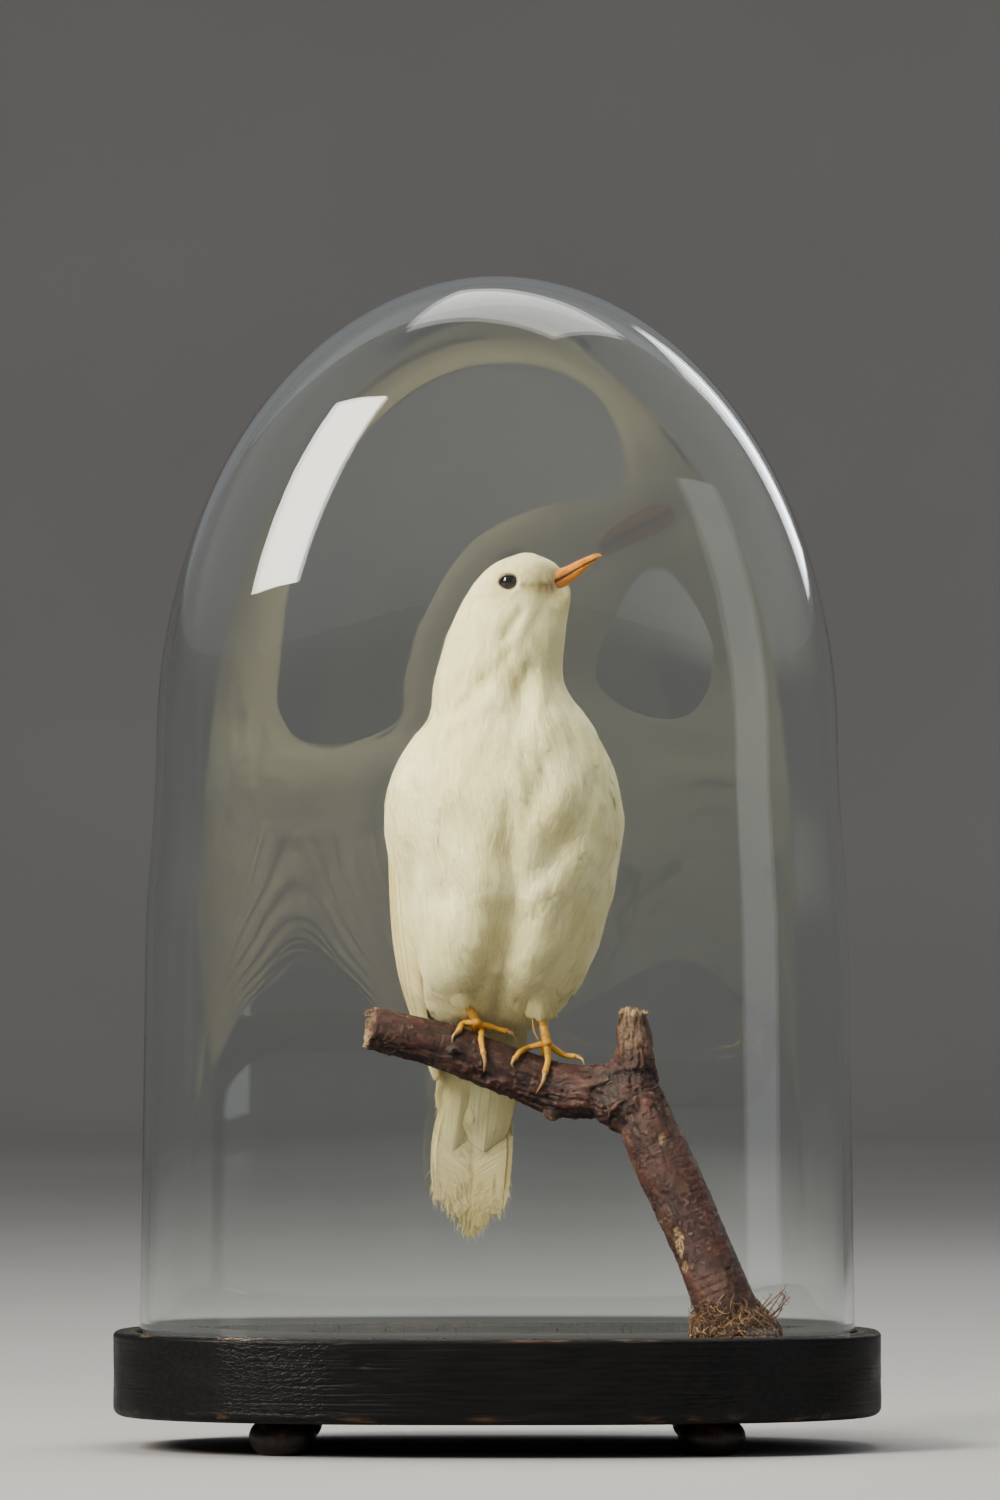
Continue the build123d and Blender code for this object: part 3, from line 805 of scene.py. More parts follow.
def loose_barbs(surface, points, quads, material):
    """Fine loose barbs that soften the bird's outline and catch the light."""
    stations = 5
    spots = scatter(points, quads, lambda place: np.full(len(place), 0.95), tries=12000)
    bill_gap = np.hypot(spots[:, 0] - 24.0, spots[:, 2] - 312.5)
    clear = (eye_distance(spots) > 6.5) & (bill_gap > 5.5) & (clear_of_legs(spots) > 3)
    spots = spots[clear & ~under_wings(spots)]
    count = len(spots)
    here, normal = surface.nearest(spots)
    ahead = flow(here)
    ahead = unit(ahead - normal * (ahead * normal).sum(1, keepdims=True))
    side = np.cross(ahead, normal)
    lengths = rng.uniform(2.5, 6.5, count) * np.interp(here[:, 2], [262, 300], [1, 0.42])
    rise = np.radians(rng.uniform(3, 9, count) + 16 * rng.random(count) ** 3)
    curl = rng.normal(0, 0.16, count)
    steps = np.linspace(0, 1, stations)
    run, lift, bend = lengths * np.cos(rise), lengths * np.sin(rise), lengths * curl
    line = here[:, None] + normal[:, None] * (0.3 + over_wings(here))[:, None, None]
    line = line + ahead[:, None] * (run[:, None] * steps)[..., None]
    line = line + normal[:, None] * (lift[:, None] * (steps - 0.4 * steps**2))[..., None]
    line = line + side[:, None] * (bend[:, None] * steps**2)[..., None]
    half = side[:, None] * (0.055 * (1 - steps) + 0.015)[None, :, None]
    ribbons = np.stack([line - half, line + half], 2).reshape(-1, 3)
    firsts = 2 * stations * np.arange(count)
    faces = (grid_faces(stations, 2)[None] + firsts[:, None, None]).reshape(-1, 4)
    stain, dark = marks(ribbons)
    batch = Batch()
    uv = np.tile([[0.4, 0.8], [0.6, 0.8]], (stations * count, 1))
    seeds = np.repeat(rng.random(count), 2 * stations)
    batch.add(ribbons, faces, (), uv, stain=stain, dark=dark, seed=seeds)
    batch.build("loose_barbs", material, slot="body_feathers")


def leg_tufts(surface, material):
    """Soft feathers of the thighs that hang over the tops of the shanks."""
    batch = Batch()
    count = 90
    for top_x, top_y, top_z, end_z in ((-11.9, -9.8, 161.5, 157.6), (15.9, -8.8, 158.0, 153.0)):
        across = rng.uniform(-1, 1, count)
        high = rng.random(count)
        starts = np.stack([top_x + 6.5 * across, np.full(count, -20.0), top_z + 5 + 11 * high], 1)
        starts = surface.nearest(starts)[0] + (0, 1.0, 0)
        ends = np.stack(
            [top_x + 5.6 * across, top_y - 1.8 + 4.6 * across**2, end_z + 2.0 * across**2 + 5.5 * high], 1
        )
        share = np.linspace(0, 1, 5)[None, :, None]
        bend = (starts + ends) / 2 + (0, 0.6, 0)
        routes = starts[:, None] * (1 - share) ** 2 + ends[:, None] * share**2
        routes = routes + bend[:, None] * 2 * share * (1 - share)
        normals = np.zeros((count, 5, 3)) + (0, -1, 0.15)
        normals[..., 0] += 0.5 * across[:, None]
        lengths = np.linalg.norm(ends - starts, axis=1)
        order = np.argsort(high)
        lengths = lengths[order]
        contour_feathers(batch, routes[order], unit(normals)[order], lengths * 0.17, 7, 0.01 * lengths, 0.9)
    batch.build("feathers_leg_tops", material, slot="body_feathers")


# ---- Flight and tail feathers ----------------------------------------------------------------


def blade(
    batch, path, normals, wide, narrow, rows=110, fray=1.0, splits=4, stain=0.1, tip=0.2, cup=0.05, torn=0,
    waves=1.0, shaft=0.34, edging=0.12,
):
    """One large feather: a raised rachis and two vanes whose barbs slant towards the tip."""
    route = resample(path, rows)
    share = np.linspace(0, 1, rows)
    normals = np.asarray(normals, float)
    if normals.ndim == 1:
        normals = np.tile(normals, (rows, 1))
    else:
        keys = np.linspace(0, 1, len(normals))
        normals = np.stack([np.interp(share, keys, normals[:, i]) for i in range(3)], 1)
    along = unit(np.gradient(route, axis=0))
    side = unit(np.cross(along, normals))
    normals = unit(np.cross(side, along))
    length = np.linalg.norm(np.diff(route, axis=0), axis=1).sum()
    start = smooth_step(share, -0.02, 0.14)
    end = np.sqrt(np.clip(1 - (np.clip(share - (1 - tip), 0, 1) / tip) ** 2, 0, 1))
    shape = np.maximum(start * end, 0.02)
    spread = np.array([-1, -0.82, -0.6, -0.36, -0.14, -0.035, 0, 0.035, 0.14, 0.36, 0.6, 0.82, 1])
    seed = int(rng.integers(1, 9000))
    probe = np.stack([share * length, np.zeros(rows), np.zeros(rows)], 1)
    rows_points = []
    cuts = {-1: np.ones(rows), 1: np.ones(rows)}

    def cut_in(edge, place, depth, width):
        """A parting between barbs that runs in from one edge."""
        cuts[edge] = np.minimum(cuts[edge], 1 - depth * np.clip(1 - np.abs(share - place) / width, 0, 1))

    for _ in range(splits):
        cut_in(rng.choice((-1, 1)), rng.uniform(0.35, 0.97), rng.uniform(0.3, 0.75) * fray, 0.013)
    for _ in range(torn):
        cut_in(rng.choice((-1, 1)), 1 - 0.2 * rng.uniform(0, 1) ** 0.8, rng.uniform(0.4, 0.9), 0.012)
    for t in spread:
        reach = wide if t > 0 else narrow
        outer = abs(t) ** 1.5
        worn = 0.05 * noise(probe + t, (0.9, 1, 1), seed) + 0.025 * rng.normal(0, 1, rows)
        ragged = 1 + outer * fray * worn
        cut = 1 - (1 - cuts[1 if t > 0 else -1]) * smooth_step(abs(t), 0.2, 1)
        across = t * reach * shape * ragged * cut
        slant = 0.5 * reach * shape * abs(t) ** 0.9 * (0.6 + 0.4 * end)
        ridge = 0
        if t == 0:
            ridge = shaft * (1 - 0.75 * share)
        elif abs(t) < 0.05:
            ridge = 0.3 * shaft * (1 - 0.6 * share)
        fluff = 0.14 * fray * waves * outer * noise(probe + 7 * t, (1.6, 1, 1), seed + 1)
        wave = 0.22 * waves * noise(probe + 3, (11, 1, 1), seed + 2) * abs(t)
        height = ridge - cup * reach * t * t + fluff + wave
        rows_points.append(
            route + side * across[:, None] + along * slant[:, None] + normals * np.asarray(height)[..., None]
        )
    points = np.stack(rows_points, 1)
    columns = len(spread)
    uv = np.stack(np.broadcast_arrays(spread[None] / 2 + 0.5, share[:, None]), -1).reshape(-1, 2)
    edge_stain = stain + edging * np.abs(spread[None]) ** 3 + 0.1 * smooth_step(share, 0.85, 1.0)[:, None]
    edge_stain = np.clip(edge_stain + rng.uniform(-0.06, 0.08), 0, 1).reshape(-1)
    faces = grid_faces(rows, columns)
    batch.add(points.reshape(-1, 3), faces, (), uv, stain=edge_stain, dark=0.0, seed=rng.random())


def fringe(batch, path, normals, wide, narrow, span, count, lengths):
    """Loose barbs: thin ribbons that leave a feather's vane and curve towards its tip."""
    stations, knots = 80, 6
    route = resample(path, stations)
    along = unit(np.gradient(route, axis=0))
    side = unit(np.cross(along, np.broadcast_to(normals, route.shape)))
    out = unit(np.cross(side, along))
    for _ in range(count):
        share = rng.uniform(*span)
        place = min(int(share * (stations - 1)), stations - 1)
        edge = rng.choice((-1.0, 1.0))
        taper = math.sqrt(max(0.0, 1 - max(0.0, (share - 0.7) / 0.3) ** 2))
        reach = (wide if edge > 0 else narrow) * taper
        root = route[place] + edge * side[place] * reach * rng.uniform(0.35, 0.9)
        root = root + out[place] * rng.uniform(0.0, 0.5)
        lean = math.radians(rng.uniform(15, 45)) * (0.6 + 0.4 * taper)
        length = rng.uniform(*lengths)
        ahead = along[place] * math.cos(lean) + edge * side[place] * math.sin(lean)
        bend = along[place] * 0.25 * length - edge * side[place] * rng.uniform(-0.05, 0.25) * length
        steps = np.linspace(0, 1, knots)[:, None]
        line = root + ahead * length * steps + bend * steps**2 + out[place] * rng.normal(0, 0.35) * steps**2
        half = rng.uniform(0.05, 0.13) * (1 - steps**1.5) + 0.02
        across = unit(np.cross(np.gradient(line, axis=0), np.broadcast_to(out[place], line.shape)))
        ribbon = np.stack([line - across * half, line + across * half], 1).reshape(-1, 3)
        uv = np.tile([[0.3, 0.9], [0.4, 0.9]], (knots, 1))
        stain = rng.uniform(0, 0.16)
        batch.add(ribbon, grid_faces(knots, 2), (), uv, stain=stain, dark=0.0, seed=rng.random())


def three_way(first, middle, last, share):
    """A route between three given routes of the same number of points."""
    first, middle, last = (resample(route, 9) for route in (first, middle, last))
    low, centre, high = (share - 1) * (2 * share - 1), 4 * share * (1 - share), share * (2 * share - 1)
    return first * low + middle * centre + last * high


# The bird's middle: the plane that its two wings mirror in, turned a little to the viewer's right.
middle_point = np.array([4.0, -1.0, 0.0])
yaw = math.radians(18)
to_left = np.array([math.cos(yaw), math.sin(yaw), 0.0])
to_front = np.array([math.sin(yaw), -math.cos(yaw), 0.0])

# Routes of the right wing's feathers, wrist to tip, on the viewer's left.
primary_routes = (
    [(-33.5, -12.5, 231), (-35.2, -10.5, 212), (-35.0, -8.5, 196), (-33.4, -6.0, 181), (-31.2, 0.0, 164),
     (-27.4, 11.0, 148), (-23.0, 22.0, 131.5)],
    [(-36.0, -3.0, 232), (-38.2, 0.0, 214), (-38.2, 2.0, 198), (-37.4, 5.5, 184), (-35.0, 11.0, 170),
     (-30.5, 19.0, 157), (-25.5, 25.5, 145)],
    [(-34.0, 9.0, 233), (-36.0, 12.0, 217), (-36.0, 15.0, 204), (-34.0, 19.0, 192), (-30.0, 24.0, 182),
     (-25.5, 27.5, 172), (-21.0, 29.5, 163)],
)
secondary_routes = (
    [(-33.0, 12.0, 233), (-34.8, 16.0, 214), (-33.0, 21.0, 197), (-28.0, 26.0, 181), (-22.0, 29.5, 166)],
    [(-26.0, 24.0, 236), (-27.0, 27.0, 217), (-25.0, 30.0, 200), (-20.5, 31.5, 186), (-15.0, 32.0, 173)],
    [(-14.0, 31.0, 240), (-14.5, 33.5, 222), (-13.0, 34.0, 206), (-10.5, 33.5, 193), (-7.5, 32.5, 182)],
)


def push_out(points, surface, gap):
    """Points moved out of the body until they are a gap above its surface."""
    near, normals = surface.nearest(points)
    high = ((points - near) * normals).sum(1)
    least = np.broadcast_to(gap, len(points))
    return np.where((high < least)[:, None], near + normals * least[:, None], points)


def out_of_body(points):
    """Directions out from the bird's upright middle line."""
    away = points - middle_point
    away[:, 2] = 0
    return unit(away)


def wing(side_name, surface, material, downy):
    """One folded wing: primaries, secondaries over them, two rows of coverts, and soft shoulder feathers."""

    def on_side(points):
        if side_name == "right":
            return points
        across = (points - middle_point) @ to_left
        tuck = 0.8 - 0.3 * smooth_step(points[:, 2], 235, 180)
        return points - ((1 + tuck) * across)[:, None] * to_left

    def feather(batch, points, gap, wide, narrow, face=0.0, **look):
        points = push_out(on_side(points), surface, gap)
        if side_name == "left":
            wide, narrow = narrow, wide
        blade(batch, points, unit(out_of_body(points) + to_front * face), wide, narrow, **look)

    def around(share, height):
        """A point on the body under the wing, from the front edge at 0 to beside the spine at 1."""
        turn = math.radians(-158 - 92 * share)
        return body_points(np.array([height]), np.array([turn]))[0]

    primaries = Batch()
    for rank in range(9):
        share = rank / 8
        gap = 0.5 + 0.22 * rank + np.zeros(9)
        points = three_way(*primary_routes, share)
        look = dict(splits=2, fray=0.5, waves=0.25, stain=0.1 * (rank % 2), tip=0.16, cup=0.09, edging=0.75)
        feather(primaries, points, gap, 2.2, 5.2, rows=130, face=1.1 * (1 - share) ** 1.5, **look)
    primaries.build(f"primary_feathers_{side_name}", material, slot="flight_feathers")

    secondaries = Batch()
    for rank in range(9):
        share = rank / 8
        points = three_way(*secondary_routes, share)
        look = dict(splits=3, fray=0.7, waves=0.5, stain=0.1, tip=0.24)
        feather(secondaries, points, 1.7 + 0.16 * rank, 3.4, 6.2, **look)
    secondaries.build(f"secondary_feathers_{side_name}", material, slot="flight_feathers")

    coverts = Batch()
    rows = (
        (12, 238.0, 30.0, 1.0, 2.5, 4.2, 0.0),
        (13, 246.0, 20.0, 1.5, 2.9, 4.0, 0.12),
    )
    for count, top, length, low_gap, high_gap, width, first in rows:
        for rank in range(count):
            share = first + (1 - first) * (rank + rng.uniform(-0.12, 0.12)) / (count - 1)
            drop = length * rng.uniform(0.92, 1.08)
            points = np.array([around(share + 0.05 * step / 5, top - drop * step / 5) for step in range(6)])
            gap = np.linspace(low_gap, high_gap, 6)
            look = dict(rows=44, splits=1, fray=0.6, waves=0.4, tip=0.4, stain=0.04, cup=0.1)
            feather(coverts, points, gap, width * 0.8, width * 1.15, **look)
    coverts.build(f"wing_covert_feathers_{side_name}", material, slot="flight_feathers")

    soft_count = 640
    shares = rng.uniform(-0.24, 1.02, soft_count)
    tops = rng.uniform(178, 264, soft_count)
    tops = np.where(shares > 0.02, np.maximum(tops, 221 + 21 * np.minimum(shares, 1)), tops)
    lengths = rng.uniform(12, 18, soft_count) * np.interp(tops, [216, 262], [1.1, 0.85])
    order = np.argsort(tops)
    starts = on_side(np.array([around(shares[i], tops[i]) for i in order]))
    lengths = lengths[order]
    routes, normals = follow(push_out(starts, surface, 0.3), lengths, surface, 4)
    soft = Batch()
    contour_feathers(
        soft, routes, normals, lengths * 0.5, 11, 0.01 * lengths, 0.7, 0.4, drape=surface, offset=over_wings
    )
    soft.build(f"shoulder_feathers_{side_name}", downy, slot="body_feathers")


def under_wings(points):
    """Where the folded wings hide the body."""
    place = points - middle_point
    out = np.abs(place @ to_left)
    front = place @ to_front
    turn = np.degrees(np.arctan2(out, -front))
    z = points[:, 2]
    return (turn > 26) & (turn < 84) & (z > 176) & (z < 240)


def over_wings(points):
    """How far above the body the soft feathers lie where they cross the folded wings."""
    place = points - middle_point
    turn = np.degrees(np.arctan2(np.abs(place @ to_left), -(place @ to_front)))
    height = np.interp(points[:, 2], [160, 190, 214, 226, 240, 256, 266], [0.4, 1.2, 2.6, 3.1, 2.6, 1.1, 0.2])
    return height * (0.12 + 0.88 * smooth_step(turn, 112, 88))


# The tail: the middle line of its under side, the way that side faces, and the way across it.
tail_line = np.array([(-2.5, 17.0, 170.0), (-6.6, 28.5, 137.0), (-9.2, 37.5, 108.0), (-10.2, 47.0, 73.0)])
tail_under = np.array([0.0, -0.956, -0.292])
tail_across = np.array([1.0, 0.0, 0.0])


def tail(vane, soft):
    """Twelve tail feathers with ragged tips, and the soft coverts under and over their roots."""
    line = resample(tail_line, 60)
    share = np.linspace(0, 1, 60)
    for side_name, side in (("left", 1), ("right", -1)):
        batch = Batch()
        for rank in range(1, 7):
            open_at = 0.6 * rank * (1 - share) + (0.6 + 2.25 * (rank - 1)) * smooth_step(share, 0.02, 0.7)
            open_at = open_at - 0.25 * (rank - 1) * smooth_step(share, 0.75, 1.0)
            layer = 0.3 * (rank - 1) + (0.15 if side_name == "right" else 0)
            shorter = 1 - 0.021 * (rank - 1) - rng.uniform(0, 0.02) - (0.025 if side_name == "right" else 0)
            points = line + tail_across * (side * open_at)[:, None] + tail_under * (0.4 + layer)
            points = points[: int(60 * shorter)]
            outer = 4.4 - 0.5 * (rank - 1)
            inner = 6.4 + 1.25 * (rank - 1)
            wide, narrow = (inner, outer) if side_name == "left" else (outer, inner)
            look = dict(fray=0.55, splits=2, stain=0.08, tip=0.2, cup=0.03, torn=1, waves=0.8)
            blade(batch, points, tail_under, wide, narrow, rows=190, **look)
            fringe(batch, points, tail_under, wide, narrow, (0.86, 1.0), 46, (2.0, 5.0))
            if rank > 4:
                fringe(batch, points, tail_under, 2.2, 2.2, (0.2, 0.95), 90, (1.0, 2.0))
        batch.build(f"tail_feathers_{side_name}", vane, slot="flight_feathers")

    lobes = Batch()
    ends = (
        (-20.5, 120.0, 4.5, 1.9), (3.4, 121.0, 6.0, 1.9), (-16.2, 106.0, 6.6, 2.6), (-5.0, 105.8, 9.8, 3.3),
        (-18.0, 124.0, 5.5, 3.9), (1.0, 126.0, 6.0, 4.0), (-13.0, 127.0, 5.5, 4.9), (-5.0, 129.0, 6.0, 5.5),
    )
    for end_x, end_z, half, rise in ends:
        start = np.array([-2.5 + (end_x + 9) * 0.7, 15.0, 168.0]) + tail_under * 5.6
        centre_y = np.interp(end_z, tail_line[::-1, 2], tail_line[::-1, 1])
        end = np.array([end_x, centre_y, end_z]) + tail_under * (rise * 0.7)
        bend = (start + end) / 2 + tail_under * (2.4 + 0.2 * rise)
        look = dict(rows=90, fray=0.12, splits=0, stain=0.02, tip=0.44, cup=0.11, waves=3.0, shaft=0.06)
        blade(lobes, [start, bend, end], tail_under, half, half, **look)
        fringe(lobes, [start, bend, end], tail_under, half, half, (0.6, 1.0), 40, (1.2, 3.0))
    lobes.build("undertail_covert_feathers", soft, slot="body_feathers")

    batch = Batch()
    for count, low, high, depth, lean, columns in (
        (34, 142.0, 168.0, (2.8, 5.2), tail_under, 14),
        (40, 140.0, 172.0, (-2.4, -0.8), -tail_under, 9),
    ):
        starts = np.linspace(low, high, count) + rng.uniform(-1, 1, count)
        across = rng.uniform(-1, 1, count)
        place = (170 - starts) / 93
        centre = np.stack([np.interp(place, np.linspace(0, 1, 4), tail_line[:, i]) for i in range(3)], 1)
        centre[:, 2] = starts
        lift = depth[0] + (depth[1] - depth[0]) * smooth_step(starts, low, high)
        half = 8.2 - 1.2 * (1 - smooth_step(starts, low, high))
        starts_at = centre + tail_across * (across * half)[:, None] + tail_under * lift[:, None]
        lengths = rng.uniform(20, 28, count)
        direction = unit(np.stack([-0.12 + 0.06 * across, 0.27 + 0 * across, -1 + 0 * across], 1))
        steps = np.linspace(0, 1, 5)
        routes = starts_at[:, None] + direction[:, None] * (lengths[:, None] * steps)[..., None]
        routes = routes - lean * (steps**2 * 1.4)[None, :, None]
        normals = np.broadcast_to(lean, routes.shape).copy()
        normals[:, :, 0] += across[:, None] * 0.35
        widths = lengths * rng.uniform(0.42, 0.52, count)
        contour_feathers(batch, routes, unit(normals), widths, columns, 0.012 * lengths, 0.9)
    batch.build("tail_root_feathers", soft, slot="body_feathers")


# ---- Head details ----------------------------------------------------------------------------


def eyes(glass, lid):
    """Two black glass eyes with their lid rims."""
    for side_name, middle_y, out in (("right", -10.35, -1), ("left", 8.35, 1)):
        rows, columns = 28, 40
        tilt = np.linspace(0, math.pi, rows)[:, None]
        turn = full_turn(columns)[None]
        radius = 3.5
        flat = radius * np.sin(tilt)
        ball = np.broadcast_arrays(flat * np.cos(turn), out * radius * np.cos(tilt), flat * np.sin(turn))
        ball = np.stack(ball, -1).reshape(-1, 3)
        centre = np.array([eye_place[0], middle_y, eye_place[1]])
        faces = [grid_faces(rows, columns, wrap=True)]
        piece = add_mesh(f"glass_eye_{side_name}", ball + centre, faces, glass, slot="eye_glass")
        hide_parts(f"eye_{side_name}")

        batch = Batch()
        around = full_turn(64)
        lean = math.radians(16)
        rims = ((3.5, 2.72, 0.22, 0.05), (3.85, 3.05, 0.3, 0.5))
        for ring, (width, height, thick, sink) in enumerate(rims):
            flat_x, flat_z = width * np.cos(around), height * np.sin(around) * (1 - 0.12 * np.cos(around))
            x = flat_x * math.cos(lean) - flat_z * math.sin(lean)
            z = flat_x * math.sin(lean) + flat_z * math.cos(lean)
            depth = np.sqrt(np.maximum(radius**2 - np.minimum(np.hypot(x, z), 3.1) ** 2, 0.2))
            y = middle_y + out * (depth + 0.2 - sink)
            beads = 1 + 0.08 * np.sin(around * 7 + ring) + 0.06 * np.sin(around * 23)
            path = np.stack([eye_place[0] + x, y, eye_place[1] + z], 1)
            path = np.vstack([path, path[:2]])
            radii = thick * np.append(beads, beads[:2])
            tones = dict(stain=0.4 - 0.2 * ring, dark=0.6 - 0.45 * ring)
            tube(batch, path, radii, sides=8, caps=False, up=(0, 1, 0), **tones)
        batch.build(f"eye_rim_{side_name}", lid, slot="body_feathers")


def half_bill(name, top_line, low_line, half_widths, closed, material, node):
    """One mandible lofted between its upper and lower lines, in the bill's upright plane."""
    count, sides = 48, 20
    top = resample([(x, 0, z) for x, z in top_line], count)
    low = resample([(x, 0, z) for x, z in low_line], count)
    share = np.linspace(0, 1, count)
    half = smooth_curve(share, np.linspace(0, 1, len(half_widths)), np.array(half_widths), 1)
    turn = np.linspace(0, math.pi, sides - 4)
    middle = (top + low) / 2
    edge, back = (low, top) if closed else (top, low)
    rise = np.sin(turn) ** 0.75
    points = edge[:, None] + (back - edge)[:, None] * rise[None, :, None]
    points[..., 1] = -1 + half[:, None] * (np.cos(turn) * (1 - 0.12 * rise))[None]
    under = np.linspace(-0.6, 0.6, 4)
    inside = edge[:, None] + (back - edge)[:, None] * 0.06 + np.zeros((1, 4, 1))
    inside[..., 1] = -1 + half[:, None] * under[None]
    points = np.concatenate([points, inside], 1)
    points = points.reshape(-1, 3)
    points = points + 0.05 * noise(points, (2.2, 0.9, 0.9), 3)[:, None] * np.array([0, 1, 0.6])
    points = np.vstack([points, middle[0] - (0, 1, 0), middle[-1] - (0, 1, 0)])
    quads = grid_faces(count, sides, wrap=True)
    triangles = end_fans(count, sides)
    if not closed:
        quads, triangles = quads[:, ::-1], triangles[:, ::-1]
    stain = 0.25 + 0.75 * smooth_step(points[:, 0], 26, 20)
    # Painted shade: a dark slit where the nostril opens, and a dark line along the seam between the two
    # mandibles.
    along = (points[:, 0] - 24.4) * 0.83 + (points[:, 2] - 315.2) * 0.56
    beside = (points[:, 2] - 315.2) * 0.83 - (points[:, 0] - 24.4) * 0.56
    dark = 0.8 * np.exp(-((along / 1.1) ** 2) - (beside / 0.32) ** 2)
    seam_x, seam_z = [17, 20.6, 25, 29.6, 33.8, 37.8], [309.5, 311.2, 313.6, 316.3, 318.75, 320.6]
    seam = np.interp(points[:, 0], seam_x, seam_z)
    wide = 0.25 + 0.35 * smooth_step(points[:, 0], 30, 21)
    dark = np.maximum(dark, 0.85 * bell(points[:, 2] - seam, wide))
    tones = {"stain": stain, "dark": dark}
    piece = add_mesh(name, points, [quads, triangles], material, None, tones, slot="bill_horn")
    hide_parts(node)


def bill(material):
    """The yellow bill: a hooked upper mandible over a slightly shorter lower one."""
    half_bill(
        "upper_mandible",
        [(17.0, 313.0), (21.5, 315.8), (25.0, 317.2), (30.0, 319.6), (34.2, 321.3), (36.6, 321.7),
         (37.9, 320.9)],
        [(17.0, 309.55), (20.6, 311.25), (25.0, 313.65), (29.6, 316.35), (33.8, 318.8), (36.4, 320.2),
         (37.8, 320.6)],
        [3.0, 2.9, 2.5, 2.0, 1.4, 0.8, 0.15],
        True, material, "bill_upper",
    )
    half_bill(
        "lower_mandible",
        [(17.0, 309.45), (20.6, 311.15), (25.0, 313.55), (29.6, 316.25), (33.6, 318.6), (35.9, 319.9)],
        [(17.0, 305.2), (20.6, 307.2), (25.0, 310.0), (29.2, 313.3), (32.8, 316.7), (35.7, 319.4)],
        [2.9, 2.75, 2.3, 1.8, 1.1, 0.15],
        False, material, "bill_lower",
    )


# ---- Branch ----------------------------------------------------------------------------------

# Runs along the wood from here on are on the stem; smaller ones are on the limb.
stem_start = 400

# The limb and the stem: x, y, z and radius along each middle line, in millimetres.
limb_line = np.array([
    (-46.1, -10.0, 151.1, 7.6), (-20.5, -6.5, 144.6, 8.0), (7.2, -4.5, 134.2, 8.5),
    (22.7, -5.0, 128.8, 8.9), (37.1, -8.0, 128.0, 9.5), (50.0, -12.0, 129.5, 9.5),
])
stem_line = np.array([
    (48.6, -11.5, 156.0, 5.9), (49.6, -12.0, 143.0, 6.6), (50.4, -12.6, 130.0, 10.2),
    (53.5, -14.5, 117.0, 10.8), (64.1, -18.5, 92.8, 10.3), (74.9, -23.0, 67.6, 10.6),
    (86.0, -27.5, 40.5, 11.2),
])


def limb_front(x, z, lift):
    """The point on the limb's near side at x and z, raised off its bark."""
    middle_y, middle_z, radius = (np.interp(x, limb_line[:, 0], limb_line[:, i]) for i in (1, 2, 3))
    slope = np.interp(x + 1, limb_line[:, 0], limb_line[:, 2]) - middle_z
    high = (z - middle_z) / math.hypot(1, slope)
    reach = radius + lift
    return np.array([x, middle_y - math.sqrt(max(reach**2 - high**2, 0.04)), z])


def remeshed(points, faces, cell, rounds):
    """The outer skin of overlapping closed meshes, as one even mesh, softened a little."""
    rough = add_mesh("rough", points, faces, None)
    shrink = rough.modifiers.new("skin", "REMESH")
    shrink.mode = "VOXEL"
    shrink.voxel_size = cell * MM
    soften = rough.modifiers.new("soften", "SMOOTH")
    soften.iterations = rounds
    soften.factor = 0.5
    bpy.context.view_layer.update()
    mesh = bpy.data.meshes.new_from_object(rough.evaluated_get(bpy.context.evaluated_depsgraph_get()))
    places = np.zeros(len(mesh.vertices) * 3)
    normals = np.zeros(len(mesh.vertices) * 3)
    mesh.vertices.foreach_get("co", places)
    mesh.vertex_normals.foreach_get("vector", normals)
    corners = np.zeros(len(mesh.loops), np.int32)
    mesh.loops.foreach_get("vertex_index", corners)
    bpy.data.objects.remove(rough)
    bpy.data.meshes.remove(mesh)
    return places.reshape(-1, 3) / MM, normals.reshape(-1, 3), corners.reshape(-1, 4)


def wood_shape():
    """The branch without its bark's relief: stem, limb, fork, knob and collar in one skin."""
    batch = Batch()
    for line in (limb_line, stem_line):
        route = resample(line[:, :3], 60)
        keys = np.linspace(0, 1, len(line))
        radii = smooth_curve(np.linspace(0, 1, 60), keys, line[:, 3], 1)
        tube(batch, route, radii, sides=40)
    swelling = resample([(38.0, -9.0, 125.5), (46.0, -11.5, 124.0), (53.5, -14.0, 119.0)], 12)
    tube(batch, swelling, 9.2 + 1.6 * np.sin(np.linspace(0, math.pi, 12)), sides=32)
    crotch = resample([(36.0, -8.5, 131.5), (43.0, -10.5, 134.5), (47.5, -11.5, 141.0)], 12)
    tube(batch, crotch, np.linspace(5.4, 4.8, 12), sides=24)
    knob = resample([(19.0, -7.0, 124.0), (19.6, -8.5, 120.5), (20.0, -9.2, 117.6)], 8)
    tube(batch, knob, [3.2, 3.0, 2.7, 2.5, 2.4, 2.3, 2.0, 1.2], sides=20)
    collar = resample([(-15.5, -12.0, 143.0), (-14.0, -13.5, 140.0)], 6)
    tube(batch, collar, [3.0, 3.4, 3.4, 3.4, 3.2, 2.6], sides=20)
    faces = [np.concatenate(batch.quads), np.concatenate(batch.triangles)]
    return remeshed(np.concatenate(batch.points), faces, 0.55, 10)


